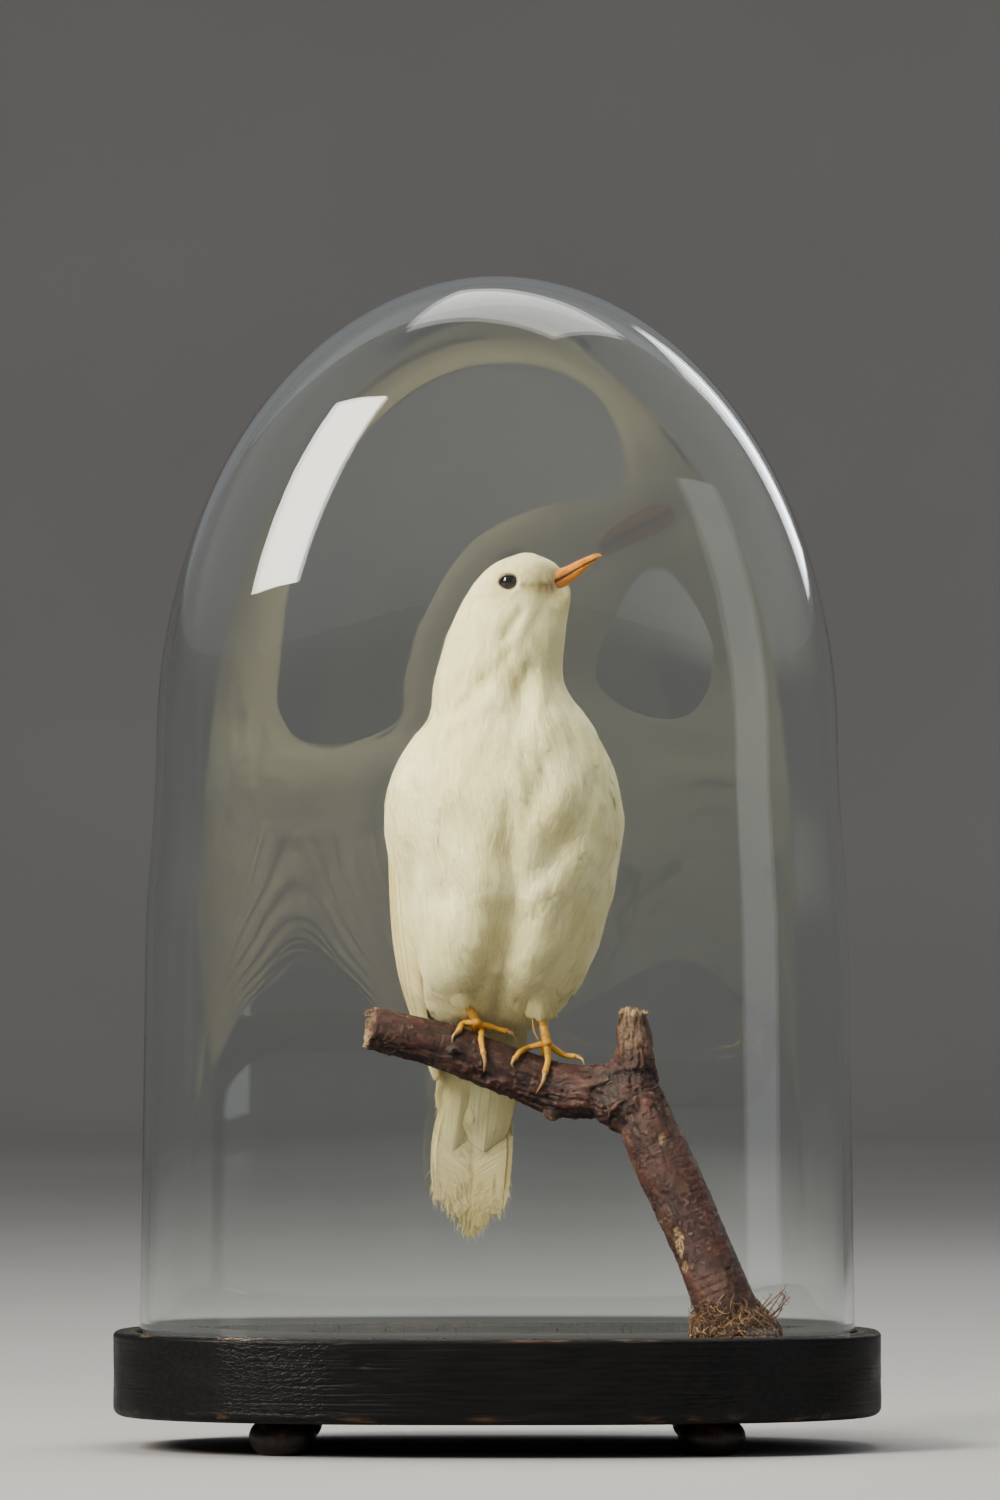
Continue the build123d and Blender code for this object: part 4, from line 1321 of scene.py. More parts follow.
def along_wood(points):
    """How far along the limb, or past stem_start the stem, each point lies, and at which turn round it."""
    stations = 160
    closest = np.full(len(points), 1e9)
    run = np.zeros(len(points))
    turn = np.zeros(len(points))
    for shift, line in ((0, limb_line), (stem_start, stem_line)):
        route = resample(line[:, :3], stations)
        along, across, out = frames_along(route)
        tree = KDTree(stations)
        for index, place in enumerate(route):
            tree.insert(place, index)
        tree.balance()
        near = np.array([tree.find(place)[1] for place in points])
        gap = points - route[near]
        reach = np.linalg.norm(gap, axis=1)
        size = np.interp(near / (stations - 1), np.linspace(0, 1, len(line)), line[:, 3])
        closer = reach / size < closest
        step = np.linalg.norm(route[1] - route[0])
        angle = np.arctan2((gap * out[near]).sum(1), (gap * across[near]).sum(1))
        run = np.where(closer, shift + near * step + (gap * along[near]).sum(1), run)
        turn = np.where(closer, angle, turn)
        closest = np.where(closer, reach / size, closest)
    return run, turn


def branch(material):
    """The barked branch: a stem with a broken top and a side limb, swollen where they fork."""
    points, normals, quads = wood_shape()
    run, turn = along_wood(points)
    on_stem = run > stem_start / 2
    wrap = np.stack([np.cos(turn) * 9, np.sin(turn) * 9, run], 1)
    fork = bell(np.linalg.norm(points - (48, -12, 128), axis=1), 20)
    under = smooth_step(normals[:, 2], 0.1, -0.6) * smooth_step(points[:, 2], 112, 122)
    rough = 0.5 + 0.9 * fork + 0.4 * smooth_step(points[:, 0], 0, 30) * smooth_step(points[:, 2], 115, 125)
    rough = rough + 0.8 * under
    lift = 0.55 * fractal(wrap, (2.6, 2.6, 7.5), 3, 3) * rough + 0.35 * noise(wrap, (6, 6, 14), 9)
    cracks = np.abs(noise(wrap, (2.2, 2.2, 9), 15))
    lift = lift - 0.5 * bell(cracks, 0.06) * rough
    rings = np.abs(noise(wrap, (30, 30, 1.6), 22))
    lift = lift - 0.18 * bell(rings, 0.1)
    scales = noise(wrap, (1.3, 1.3, 1.9), 33)
    lift = lift + 0.22 * smooth_step(scales, 0.25, 0.4) * rough
    spots = smooth_step(noise(wrap, (0.8, 0.8, 0.5), 44), 0.62, 0.72) * smooth_step(points[:, 2], 125, 110)
    lift = lift + 0.18 * spots

    def wound(centre, size, depth):
        """A bruise or pit in the bark, as how much of each point is in it."""
        gap = np.linalg.norm((points - centre) / size, axis=1)
        gap = gap * (1 + 0.25 * noise(points, 1.6, int(centre[0] + 200)))
        return smooth_step(gap, 1.05, 0.8), depth * np.exp(-(gap**4))

    streaky = smooth_step(noise(wrap, (2.2, 2.2, 12), 71), -0.5, 0.6)
    stub = smooth_step(points[:, 2], 140, 145) * (run > stem_start - 1) * smooth_step(points[:, 0], 40, 43)
    pale = 0.42 * stub * streaky
    # Painted shade: the pits, the wounds with little paleness, are painted near black.
    hollow = np.zeros(len(points))
    for centre, size, depth, paleness in (
        ((64.5, -28.5, 75.0), (2.0, 3.0, 5.6), 0.9, 1.0),
        ((66.6, -29.0, 66.0), (1.4, 3.0, 2.2), 0.6, 0.8),
        ((58.3, -25.0, 111.4), (1.6, 2.5, 2.0), 0.4, 0.7),
        ((19.6, -9.0, 117.2), (2.6, 3.0, 1.8), 0.3, 0.9),
        ((-15.0, -15.5, 141.6), (1.8, 3.0, 2.0), 1.9, 0.1),
        ((-4.0, -12.5, 133.0), (1.6, 3.0, 1.5), 1.2, 0.1),
        ((52.0, -18.5, 143.6), (3.0, 3.0, 0.7), 0.4, 0.5),
    ):
        share, sink = wound(np.array(centre), np.array(size), depth)
        pale = np.maximum(pale, share * paleness)
        hollow = np.maximum(hollow, share * (1 - paleness))
        lift = lift - sink
    end_cut = smooth_step(run, 1.4, 0.5) * ~on_stem
    top_cut = smooth_step(run - stem_start, 1.6, 0.6) * on_stem
    cut = np.maximum(end_cut, top_cut)
    splinter = fractal(points, (1.2, 1.2, 1.2), 61, 2)
    break_off = 1.5 * top_cut * (splinter + 0.9 * smooth_step(points[:, 0], 52, 46))
    break_off = break_off + 0.8 * end_cut * splinter
    points = points + normals * (lift * (1 - cut))[:, None]
    points[:, 2] += break_off * on_stem
    points[:, 0] -= break_off * ~on_stem
    taper = 0.2 * smooth_step(points[:, 2], 147, 157) * (run > stem_start - 1)
    points[:, :2] += (stem_line[0, :2] - points[:, :2]) * taper[:, None]
    shown_cut = np.maximum(end_cut * (0.3 + 0.7 * smooth_step(points[:, 2], 153, 146)), top_cut)
    tones = {"pale": pale, "hollow": hollow, "cut": shown_cut, "ridge": lift, "run": run}
    tones.update(turn_x=wrap[:, 0], turn_y=wrap[:, 1])
    piece = add_mesh("barked_branch", points, [quads], material, None, tones, slot="bark")
    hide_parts("branch")
    bark_flakes(points, normals, rough, cut, material)
    wood_fibres(material)


def bark_flakes(points, normals, rough, cut, material):
    """Small flakes of bark, most where it is rough, and none on cut wood or near the foot."""
    flakes = Batch()
    odds = (rough - 0.4) ** 2
    choice = rng.choice(len(points), 1100, p=odds / odds.sum())
    for index in choice:
        place, normal = points[index], normals[index]
        if cut[index] > 0.3 or place[2] < 60:
            continue
        size = 0.3 + 0.9 * rng.uniform(0, 1) ** 2
        side = unit(np.cross(normal, rng.normal(0, 1, 3)))
        other = np.cross(normal, side)
        squash = rng.uniform(0.3, 0.8)
        corners = []
        for angle in full_turn(7):
            reach = size * rng.uniform(0.5, 1.2)
            height = 0.05 + 0.22 * size * max(0.0, math.cos(angle)) + rng.normal(0, 0.03)
            corner = side * reach * math.cos(angle) + other * squash * reach * math.sin(angle)
            corners.append(place + corner + normal * height)
        corners.append(place + normal * (0.12 + 0.1 * size))
        faces = [(7, i, (i + 1) % 7) for i in range(7)]
        tint = rng.uniform(0, 0.5) ** 2
        flakes.add(corners, (), faces, None, pale=tint, hollow=0.0, cut=0.0, ridge=rng.normal(0, 0.4))
    flakes.build("bark_flakes", material, slot="bark")


def wood_fibres(material):
    """Torn fibres on the limb's cut end and on the stem's broken top."""
    fibres = Batch()
    for _ in range(46):
        angle = rng.uniform(0, 2 * math.pi)
        reach = 7.0 * math.sqrt(rng.uniform(0.1, 1))
        start = np.array([-45.8, -10.0 + reach * math.cos(angle), 151.0 + reach * math.sin(angle)])
        tip = start + (rng.uniform(-2.0, -0.4), rng.normal(0, 0.9), rng.normal(-0.4, 0.9))
        tube(fibres, resample([start + (1.5, 0, 0), start, tip], 5), np.linspace(0.35, 0.08, 5), sides=5,
             pale=0.5, hollow=0.0, cut=rng.uniform(0.3, 1.0), ridge=-0.2)
    for _ in range(30):
        start = np.array([48.6 + rng.uniform(-5, 5), -11.5 + rng.uniform(-4, 4), 155.6])
        tip = start + (rng.normal(0, 0.5), rng.normal(0, 0.5), rng.uniform(0.6, 1.9))
        tube(fibres, resample([start, tip], 4), np.linspace(0.6, 0.12, 4), sides=5,
             pale=1.0, hollow=0.0, cut=1.0, ridge=0.2)
    fibres.build("broken_wood_fibres", material, slot="bark")


# ---- Legs ------------------------------------------------------------------------------------


def scaly(path, radii, batch, spacing, flatten, up=(0, 0, 1)):
    """A toe or shank with overlapping ring scales."""
    length = np.linalg.norm(np.diff(np.asarray(path, float), axis=0), axis=1).sum()
    count = max(24, int(length / spacing * 7))
    keys = np.linspace(0, 1, len(radii))
    share = np.linspace(0, 1, count)
    saw = (share * length / spacing) % 1.0
    swell = 1 + 0.13 * (saw - 0.5) + 0.02 * rng.normal(0, 1, count)
    girth = np.interp(share, keys, radii) * swell
    tube(batch, resample(path, count), girth, sides=16, flatten=flatten, up=up)


def claw(batch, start, end, sag):
    """A curved claw from a toe's end."""
    start, end, sag = np.array(start), np.array(end), np.array(sag)
    path = resample([start, (start + end) / 2 + sag, end], 14)
    tube(batch, path, 0.78 * (1 - np.linspace(0, 1, 14) ** 1.4) + 0.06, sides=10)


def legs(skin, horn):
    """Two shanks with four scaly toes each round the limb, and their claws."""
    plans = (
        ("right", (-7.4, -7.6, 152.8), (-11.8, -9.5, 161.5), (
            ([(-12.4, 152.4), (-13.8, 150.0)], (-16.3, 145.3), (-0.6, -0.5, 0.6)),
            ([(-5.6, 150.2), (-5.8, 146.8), (-5.0, 142.0)], (-5.0, 134.6), (0.6, -1.2, 0.2)),
            ([(-1.4, 151.0), (3.4, 149.6)], (6.6, 146.4), (0.6, -0.5, 0.7)),
        )),
        ("left", (17.9, -9.0, 145.4), (15.6, -8.5, 158.5), (
            ([(11.9, 143.9), (8.3, 142.2), (6.5, 140.0)], (6.2, 136.2), (-0.9, -0.6, 0.0)),
            ([(18.4, 139.6), (17.3, 135.0)], (13.8, 127.0), (0.8, -1.3, 0.3)),
            ([(23.6, 141.4), (28.2, 140.6)], (31.4, 137.4), (0.6, -0.5, 0.7)),
        )),
    )
    for side_name, sole, knee, toes in plans:
        flesh, horns = Batch(), Batch()
        sole, knee = np.array(sole), np.array(knee)
        above = knee + (knee - sole) * 0.3 + (0, 7, 1)
        shank = [above, knee, (sole + knee) / 2, sole]
        scaly(shank, [1.7, 1.5, 1.45, 1.75], flesh, 1.9, flatten=0.85, up=(0, 1, 0))
        tube(flesh, resample([sole + (0, 0.6, 1.6), sole, sole + (0, -0.2, -1.6)], 10),
             np.array([0.8, 1.4, 1.75, 1.95, 2.05, 2.05, 1.95, 1.7, 1.3, 0.6]), sides=18)
        for route, tip, sag in toes:
            places = [sole] + [limb_front(x, z, 1.25) for x, z in route]
            ends = np.array(places[-1])
            scaly(places, [1.6, 1.25, 1.05, 1.15, 0.95][: len(places) + 1], flesh, 1.25, flatten=0.9)
            for joint in places[1:]:
                blob = resample([joint + (0, 0.5, 0.5), joint, joint - (0, 0.5, 0.5)], 7)
                tube(flesh, blob, np.array([0.4, 0.95, 1.18, 1.24, 1.18, 0.95, 0.4]), sides=12)
            tip_place = limb_front(tip[0], tip[1], 0.35)
            direction = unit(ends - places[-2])
            claw(horns, ends + direction * 0.5, tip_place, sag)
        middle_y, middle_z, radius = (np.interp(sole[0], limb_line[:, 0], limb_line[:, i]) for i in (1, 2, 3))
        rear = [sole]
        for angle in (20, 45, 72):
            turn = math.radians(angle)
            reach = radius + 1.3
            rear_y = middle_y + reach * math.sin(turn)
            rear.append(np.array([sole[0] - 0.03 * angle, rear_y, middle_z + reach * math.cos(turn) + 0.6]))
        scaly(rear, [1.9, 1.5, 1.35, 1.1], flesh, 1.25, flatten=0.85)
        last = rear[-1]
        turn = math.radians(112)
        tip_y = middle_y + (radius + 0.4) * math.sin(turn)
        tip_place = np.array([last[0] - 0.6, tip_y, middle_z + (radius + 0.4) * math.cos(turn)])
        claw(horns, last, tip_place, (0, 1.3, 0.3))
        if side_name == "left":
            wire = resample([(12.8, -9.0, 154.0), (13.2, -10.0, 150.0), (14.9, -11.0, 146.6)], 12)
            tube(flesh, wire, 0.26, sides=6)
        leg = flesh.build(f"scaly_leg_{side_name}", skin, slot="leg_skin")
        nails = horns.build(f"horn_claws_{side_name}", horn, slot="claw_horn")
        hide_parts(f"leg_{side_name}")
        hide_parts(f"claws_{side_name}")


# ---- Moss ------------------------------------------------------------------------------------


def moss(material):
    """A tuft of dried curly moss round the foot of the stem."""
    batch = Batch()

    def stem_at(height):
        """The stem's centre line above the board."""
        return np.array([86.0 - (height - 40.5) * 0.41, -27.5 + (height - 40.5) * 0.166])

    strands, knots, steps = 1500, 13, 9
    lowest = 42.2
    inner, outer = 10.8, 16.6
    for _ in range(strands):
        turn = rng.uniform(0, 2 * math.pi)
        high = 12.0 * rng.uniform(0, 1) ** 1.6 * (0.7 + 0.3 * math.sin(3 * turn + 1.0))
        reach = rng.uniform(10.4, 17.0 - 0.42 * high)
        axis = stem_at(42 + high)
        out_x, out_y = reach * math.cos(turn), reach * 0.9 * math.sin(turn)
        start = np.array([axis[0] + out_x, axis[1] + out_y, lowest + high])
        heading = turn + math.pi / 2 * rng.choice((-1, 1)) + rng.normal(0, 0.7)
        climb = rng.normal(-0.05, 0.4)
        length = rng.uniform(3, 10)
        curl = rng.normal(0, 0.85)
        path = [start]
        for _ in range(steps):
            heading += curl + rng.normal(0, 0.25)
            climb += rng.normal(0, 0.3)
            stride = np.array([math.cos(heading), math.sin(heading), math.sin(climb)]) * (length / steps)
            spot = path[-1] + stride
            spot[2] = max(spot[2], lowest + 0.2 * rng.random())
            axis = stem_at(spot[2])
            away = spot[:2] - axis
            far = np.linalg.norm(away)
            limit = outer - 0.4 * (spot[2] - 42)
            if far < inner:
                spot[:2] = axis + away / far * inner
            elif far > limit:
                spot[:2] = axis + away / far * (limit + 0.45 * (far - limit))
            path.append(spot)
        thick = rng.uniform(0.1, 0.28)
        radii = np.linspace(thick, thick * 0.4, knots)
        tube(batch, resample(path, knots), radii, sides=5, tone=rng.uniform(0, 1))
    for _ in range(6):
        start = np.array([93.5, -34.0, 46.0]) + rng.normal(0, 1.0, 3)
        tip = np.array([102.0, -33.5, 57.5]) + rng.normal(0, 1.7, 3)
        bend = (start + tip) / 2 + rng.normal(0, 1.2, 3)
        stalk = resample([start, bend, tip], 16)
        tube(batch, stalk, np.linspace(0.3, 0.12, 16), sides=6, tone=0.35)
        for root in stalk[5::2]:
            end = root + rng.normal(0, 1.3, 3) + (0.4, 0, 0.6)
            twig = resample([root, (root + end) / 2 + rng.normal(0, 0.5, 3), end], 6)
            tube(batch, twig, np.linspace(0.14, 0.06, 6), sides=4, tone=0.5)
    rows, columns = 18, 60
    share = np.linspace(0, 1, rows)[:, None]
    turn = full_turn(columns)[None]
    height = 42.05 + 7.5 * share + 0 * turn
    axis_x, axis_y = stem_at(height)
    reach = 10.9 + 3.0 * np.sqrt(1 - share)
    lump = np.stack([axis_x + reach * np.cos(turn), axis_y + reach * 0.93 * np.sin(turn), height], -1)
    away = lump - np.stack([axis_x, axis_y, height], -1)
    lump = lump + unit(away) * (0.9 * fractal(lump, 3.0, 8))[..., None]
    batch.add(lump.reshape(-1, 3), grid_faces(rows, columns, wrap=True), (), None, tone=0.12)
    piece = batch.build("dried_moss_strands", material, slot="dried_moss")
    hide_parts("moss_tuft")


# ---- Base board ------------------------------------------------------------------------------

# How square the oval of the board and the shade is: 2 is an ellipse.
oval_power = 2.5


def oval_ring(half_width, half_depth, turn):
    """Points of the oval at angles round it."""
    x = np.sign(np.cos(turn)) * np.abs(np.cos(turn)) ** (2 / oval_power)
    y = np.sign(np.sin(turn)) * np.abs(np.sin(turn)) ** (2 / oval_power)
    return np.stack([half_width * x, half_depth * y], -1)


def arc(centre_in, centre_up, radius, start, stop, count):
    """Points of a rounded edge, as distance in from the board's side and height."""
    angles = np.radians(np.linspace(start, stop, count))
    return [(centre_in - radius * math.cos(a), centre_up + radius * math.sin(a)) for a in angles]


def board(material):
    """The turned and ebonised oval board with the groove that the shade stands in."""
    low_corner, high_corner = (np.array(corner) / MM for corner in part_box("base_board"))
    half_width, half_depth = high_corner[0], high_corner[1]
    bottom, top = low_corner[2], high_corner[2]
    rim = np.array(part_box("glass_dome")[1]) / MM
    groove_out = half_width - rim[0] - 1.2
    groove_in = groove_out + 5.4
    profile = [(half_depth - 2.0, bottom), (60, bottom), (30, bottom), (12, bottom), (5, bottom)]
    profile += arc(3, bottom + 3, 3, -90, 0, 9)
    profile += [(0, height) for height in np.linspace(bottom + 3.4, top - 2.2, 80)]
    profile += arc(1.8, top - 1.8, 1.8, 0, 90, 10)
    profile += [(inset, top) for inset in np.linspace(2.6, groove_out - 0.5, 14)]
    profile += [(groove_out, top - 0.4), (groove_out, top - 1.6), (groove_out, top - 3)]
    profile += [(groove_in, top - 3), (groove_in, top - 1.6), (groove_in, top - 0.4)]
    profile += [(inset, top) for inset in np.linspace(groove_in + 0.5, half_depth - 3, 56)]
    columns = 500
    turn = full_turn(columns)
    points = []
    for inset, height in profile:
        shrink = inset / half_depth
        ring = oval_ring(half_width - inset - 0.2 * shrink * inset, half_depth - inset, turn)
        points.append(np.column_stack([ring, np.full(columns, height)]))
    points = np.array(points)
    flat = points.reshape(-1, 3)
    rows_step = np.gradient(points, axis=0)
    turn_step = np.roll(points, -1, axis=1) - np.roll(points, 1, axis=1)
    normal = unit(np.cross(turn_step, rows_step)).reshape(-1, 3)
    x, y, z = flat.T
    side = smooth_step(z, top + 0.1, top - 1.4) * smooth_step(z, bottom + 0.5, bottom + 3)
    turn_all = np.tile(turn, len(profile))
    sweep = np.column_stack([turn_all * 110, np.zeros(len(flat)), z])
    ridged = smooth_step(x, -98, -80) * smooth_step(x, 100, 70) * 0.8 + 0.2
    ridges = noise(sweep, (60, 1, 0.75), 4) + 0.6 * noise(sweep, (24, 1, 0.42), 14)
    saw = np.abs(noise(sweep, (75, 1, 1.7), 24))
    lift = 0.11 * ridges * side * ridged - 0.28 * bell(saw, 0.06) * side * ridged
    lift = lift + 0.25 * noise(sweep, (26, 1, 9), 34) * side
    crackle = smooth_step(x, -102, -94) * smooth_step(x, -56, -64) * smooth_step(-y, 20, 40) * side
    cells = np.abs(noise(sweep, (2.4, 1, 1.2), 41))
    lift = lift - 0.09 * bell(cells, 0.12) * crackle
    nicks = ((-20, 25.5, 0.9), (-1, 24.6, 0.8), (8, 25.8, 1.0), (-48, 33, 1.2), (61, 19, 1.3), (30, 37, 0.8))
    for nick_x, nick_z, size in nicks:
        gap = np.hypot((x - nick_x) / 1.6, z - nick_z)
        lift = lift - 0.5 * bell(gap, size) * (y < 0) * side
    inset_all = np.repeat([inset for inset, height in profile], columns)
    edge = bell(z - top, 2.0) * smooth_step(1.0 - side, 0.1, 0.9)
    edge = edge * smooth_step(inset_all, 4.0, 1.9)
    rubbed = fractal(sweep, (9, 1, 2.5), 55)
    on_top = smooth_step(z, top - 0.3, top - 0.05)
    lift = lift + 0.07 * fractal(flat, (30, 3.5, 9), 64) * on_top
    lift = lift - 0.35 * edge * smooth_step(rubbed, 0.55, 0.9)
    flat = flat + normal * lift[:, None]
    rub = edge * smooth_step(rubbed, 0.35, 0.95)
    low_edge = bell(z - bottom - 1.2, 1.6) * side ** 0.1
    rub = rub + low_edge * smooth_step(fractal(sweep, (7, 1, 2), 58), 0.35, 0.8)
    rub = rub + 0.9 * np.exp(-(((x + 4.5) / 4.0) ** 2) - (((z - bottom - 2.2) / 1.0) ** 2)) * (y < 0)
    close = np.column_stack([x, y, 0 * z])
    shade_gap = (np.abs(x) / (rim[0] - 2)) ** oval_power + (np.abs(y) / (rim[1] - 2)) ** oval_power
    shade_gap = np.abs(shade_gap - 1)
    dust = on_top * (0.42 + 0.2 * smooth_step(fractal(close, (26, 26, 26), 71), -0.6, 0.9))
    dust = dust + 0.6 * on_top * bell(shade_gap, 0.1)
    points = np.vstack([flat, [0, 0, bottom], [0, 0, top]])
    rub, dust, crackle = (np.append(v, [0, 0]) for v in (rub, dust, crackle))
    rows = len(profile)
    faces = [grid_faces(rows, columns, wrap=True), end_fans(rows, columns)]
    wear = {"rub": np.clip(rub, 0, 1), "dust": np.clip(dust, 0, 1), "crackle": crackle}
    piece = add_mesh("ebonised_board", points, faces, material, None, wear, slot="ebonised_wood")
    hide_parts("base_board")
    dust_specks(half_width - 3, half_depth - 3, top, material)


def dust_specks(half_width, half_depth, top, material):
    """Loose specks of dust and paint on the board's top."""
    specks = Batch()
    eight_sided = np.array([(1, 0, 0), (-1, 0, 0), (0, 1, 0), (0, -1, 0), (0, 0, 1), (0, 0, -1)])
    faces = [(0, 2, 4), (2, 1, 4), (1, 3, 4), (3, 0, 4), (2, 0, 5), (1, 2, 5), (3, 1, 5), (0, 3, 5)]
    for _ in range(520):
        angle, share = rng.uniform(0, 2 * math.pi), math.sqrt(rng.uniform(0, 1))
        place = oval_ring(share * half_width, share * half_depth, np.array([angle]))[0]
        size = rng.uniform(0.12, 0.42)
        squeeze = rng.uniform(0.4, 1, 3)
        corners = eight_sided * squeeze * size
        specks.add(corners + (*place, top + 0.15), (), faces, None, rub=0.0, dust=1.0, crackle=0.0)
    specks.build("dust_specks", material, slot="ebonised_wood")


# ---- Glass shade -----------------------------------------------------------------------------


def shade(material):
    """The blown glass shade: an oval wall that flares to its rim, under a domed crown."""
    low_corner, high_corner = (np.array(corner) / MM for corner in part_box("glass_dome"))
    rim_z, top_z = low_corner[2], high_corner[2]
    rim_width, rim_depth = high_corner[0], high_corner[1]
    wall = 3.0
    wall_height = 214.0
    wall_rings, crown_rings = 45, 57
    flare_width, flare_depth = 5.9, 3.5
    shoulder_z = rim_z + wall_height
    shoulder_width, shoulder_depth = rim_width - flare_width, rim_depth - flare_depth
    rise = top_z - shoulder_z
    columns = 336
    turn = full_turn(columns)

    def skin(inset):
        """Rings from the rim up to the apex, an inset inside the outer skin, and the apex."""
        rings = []
        for height in np.linspace(rim_z + 1.5, shoulder_z, wall_rings + 1)[:-1]:
            drop = (shoulder_z - height) / (shoulder_z - rim_z)
            flare = 0.55 * smooth_step(drop, 0, 0.35) + 0.45 * drop**1.3
            width = shoulder_width + (rim_width - shoulder_width) * flare - inset
            depth = shoulder_depth + (rim_depth - shoulder_depth) * flare - inset
            rings.append(np.column_stack([oval_ring(width, depth, turn), np.full(columns, height)]))
        width, depth, tall = shoulder_width - inset, shoulder_depth - inset, rise - inset
        level = oval_ring(width, depth, turn)
        for lean in np.linspace(0, math.pi / 2, crown_rings + 1)[:-1]:
            ray = np.column_stack([level * math.cos(lean), np.full(columns, tall * math.sin(lean))])
            arch = (ray[:, 0] / width) ** 2 + (ray[:, 2] / tall) ** 2
            size = (arch ** (oval_power / 2) + np.abs(ray[:, 1] / depth) ** oval_power) ** (-1 / oval_power)
            ray = ray * size[:, None]
            rings.append(ray + (0, 0, shoulder_z))
        return np.array(rings), np.array([[0, 0, shoulder_z + tall]])

    def wavy(rings, wobble):
        """The rings moved out and in as hand-blown glass is."""
        away = rings - np.array([0, 0, 200.0])
        away[..., 2] = np.maximum(away[..., 2], 0) * 0.6
        return rings + unit(away) * wobble[..., None]

    outer, outer_top = skin(0.0)
    inner, inner_top = skin(wall)
    outer = wavy(outer, 0.1 * noise(outer, (46, 46, 80), 3) + 0.012 * noise(outer, (14, 14, 60), 5))
    inner = wavy(inner, 0.11 * noise(inner, (44, 44, 76), 13) + 0.015 * noise(inner, (14, 14, 56), 15))
    lip = []
    middle = (outer[0] + inner[0]) / 2
    half = (outer[0] - inner[0]) / 2
    for angle in np.linspace(0, math.pi, 9)[1:-1]:
        ring = middle - half * math.cos(angle)
        ring = ring - np.array([0, 0, 1.5 * math.sin(angle)])
        lip.append(ring)
    rings = np.concatenate([inner[::-1], np.array(lip), outer])
    rows = len(rings)
    points = np.vstack([rings.reshape(-1, 3), inner_top, outer_top])
    faces = [grid_faces(rows, columns, wrap=True), end_fans(rows, columns)]
    piece = add_mesh("blown_shade", points, faces, material, body=SHADE, slot="shade_glass")
    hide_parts("glass_dome")


# ---- Other materials -------------------------------------------------------------------------


def glass_material():
    """Old soft glass: clear, faintly grey-green, with smudges and dust streaks."""
    m = Nodes("old_shade_glass")
    smudge = m.noise(m.place((1, 1, 0.35)), 14, 5, 0.6)
    drip = m.noise(m.place((1, 1, 0.08)), 90, 3)
    spots = m.noise(m.place(), 420, 2)
    film = m.times(m.level(smudge, 0.5, 0.75), m.level(drip, 0.35, 0.7))
    film = m.plus(m.times(film, 0.05), m.level(spots, 0.72, 0.8, 0.0, 0.12))
    tint = m.mix(film, (0.965, 0.985, 0.975), (0.85, 0.86, 0.84))
    normal = m.bump(m.noise(m.place((1, 1, 0.5)), 24, 2), 0.05, 0.0006)
    m.finish(Base_Color=tint, Roughness=film, Normal=normal, IOR=1.5, Transmission_Weight=1.0)
    clear = m.add("ShaderNodeBsdfTransparent", Color=(0.93, 0.95, 0.94, 1))
    lamp = m.add("ShaderNodeLightPath").outputs["Is Shadow Ray"]
    both = m.tree.nodes.new("ShaderNodeMixShader")
    m.tree.links.new(lamp, both.inputs[0])
    m.tree.links.new(m.shader.outputs[0], both.inputs[1])
    m.tree.links.new(clear.outputs[0], both.inputs[2])
    m.tree.links.new(both.outputs[0], m.tree.nodes["Material Output"].inputs["Surface"])
    return m.material


def ebonised_material():
    """Black stained and polished wood: grain under the black, rubbed edges and dust."""
    m = Nodes("ebonised_wood")
    grain = m.noise(m.place((0.06, 1, 1)), 900, 4)
    broad = m.noise(m.place((0.15, 1, 1)), 60, 4)
    fine = m.noise(m.place(), 1600, 3)
    crackle = m.cells(m.place((0.5, 1, 1)), 640, "DISTANCE_TO_EDGE")
    base = m.mix(m.level(grain, 0.35, 0.75), (0.004, 0.004, 0.005), (0.014, 0.0125, 0.012))
    base = m.mix(m.times(m.attribute("rub"), m.level(grain, 0.3, 0.55)), base, (0.12, 0.062, 0.03))
    dust = m.times(m.attribute("dust"), m.level(fine, 0.42, 0.72))
    base = m.mix(m.times(dust, 0.55), base, (0.3, 0.26, 0.2))
    rough = m.plus(m.level(broad, 0.3, 0.7, 0.36, 0.55), m.times(dust, 0.35))
    crack = m.times(m.level(crackle, 0.0, 0.12, 1.0, 0.0), m.attribute("crackle"))
    height = m.math("SUBTRACT", m.plus(grain, m.times(fine, 0.3)), crack)
    normal = m.bump(height, 0.35, 0.0003)
    return m.finish(Base_Color=base, Roughness=rough, Normal=normal, Specular_IOR_Level=0.32)


def foot_material():
    """Dark stained turned wood, worn brown where it is handled."""
    m = Nodes("turned_foot_wood")
    rings = m.noise(m.place((0.3, 0.3, 3)), 420, 4)
    grain = m.noise(m.place((1, 1, 0.1)), 1100, 3)
    wear = m.noise(m.place(), 150, 4)
    base = m.mix(m.level(grain, 0.3, 0.7), (0.012, 0.01, 0.009), (0.035, 0.023, 0.016))
    base = m.mix(m.level(wear, 0.55, 0.72, 0.0, 0.8), base, (0.14, 0.07, 0.035))
    height = m.plus(rings, m.times(grain, 0.5))
    rough = m.level(wear, 0.3, 0.7, 0.28, 0.55)
    return m.finish(Base_Color=base, Roughness=rough, Normal=m.bump(height, 0.3, 0.0004))


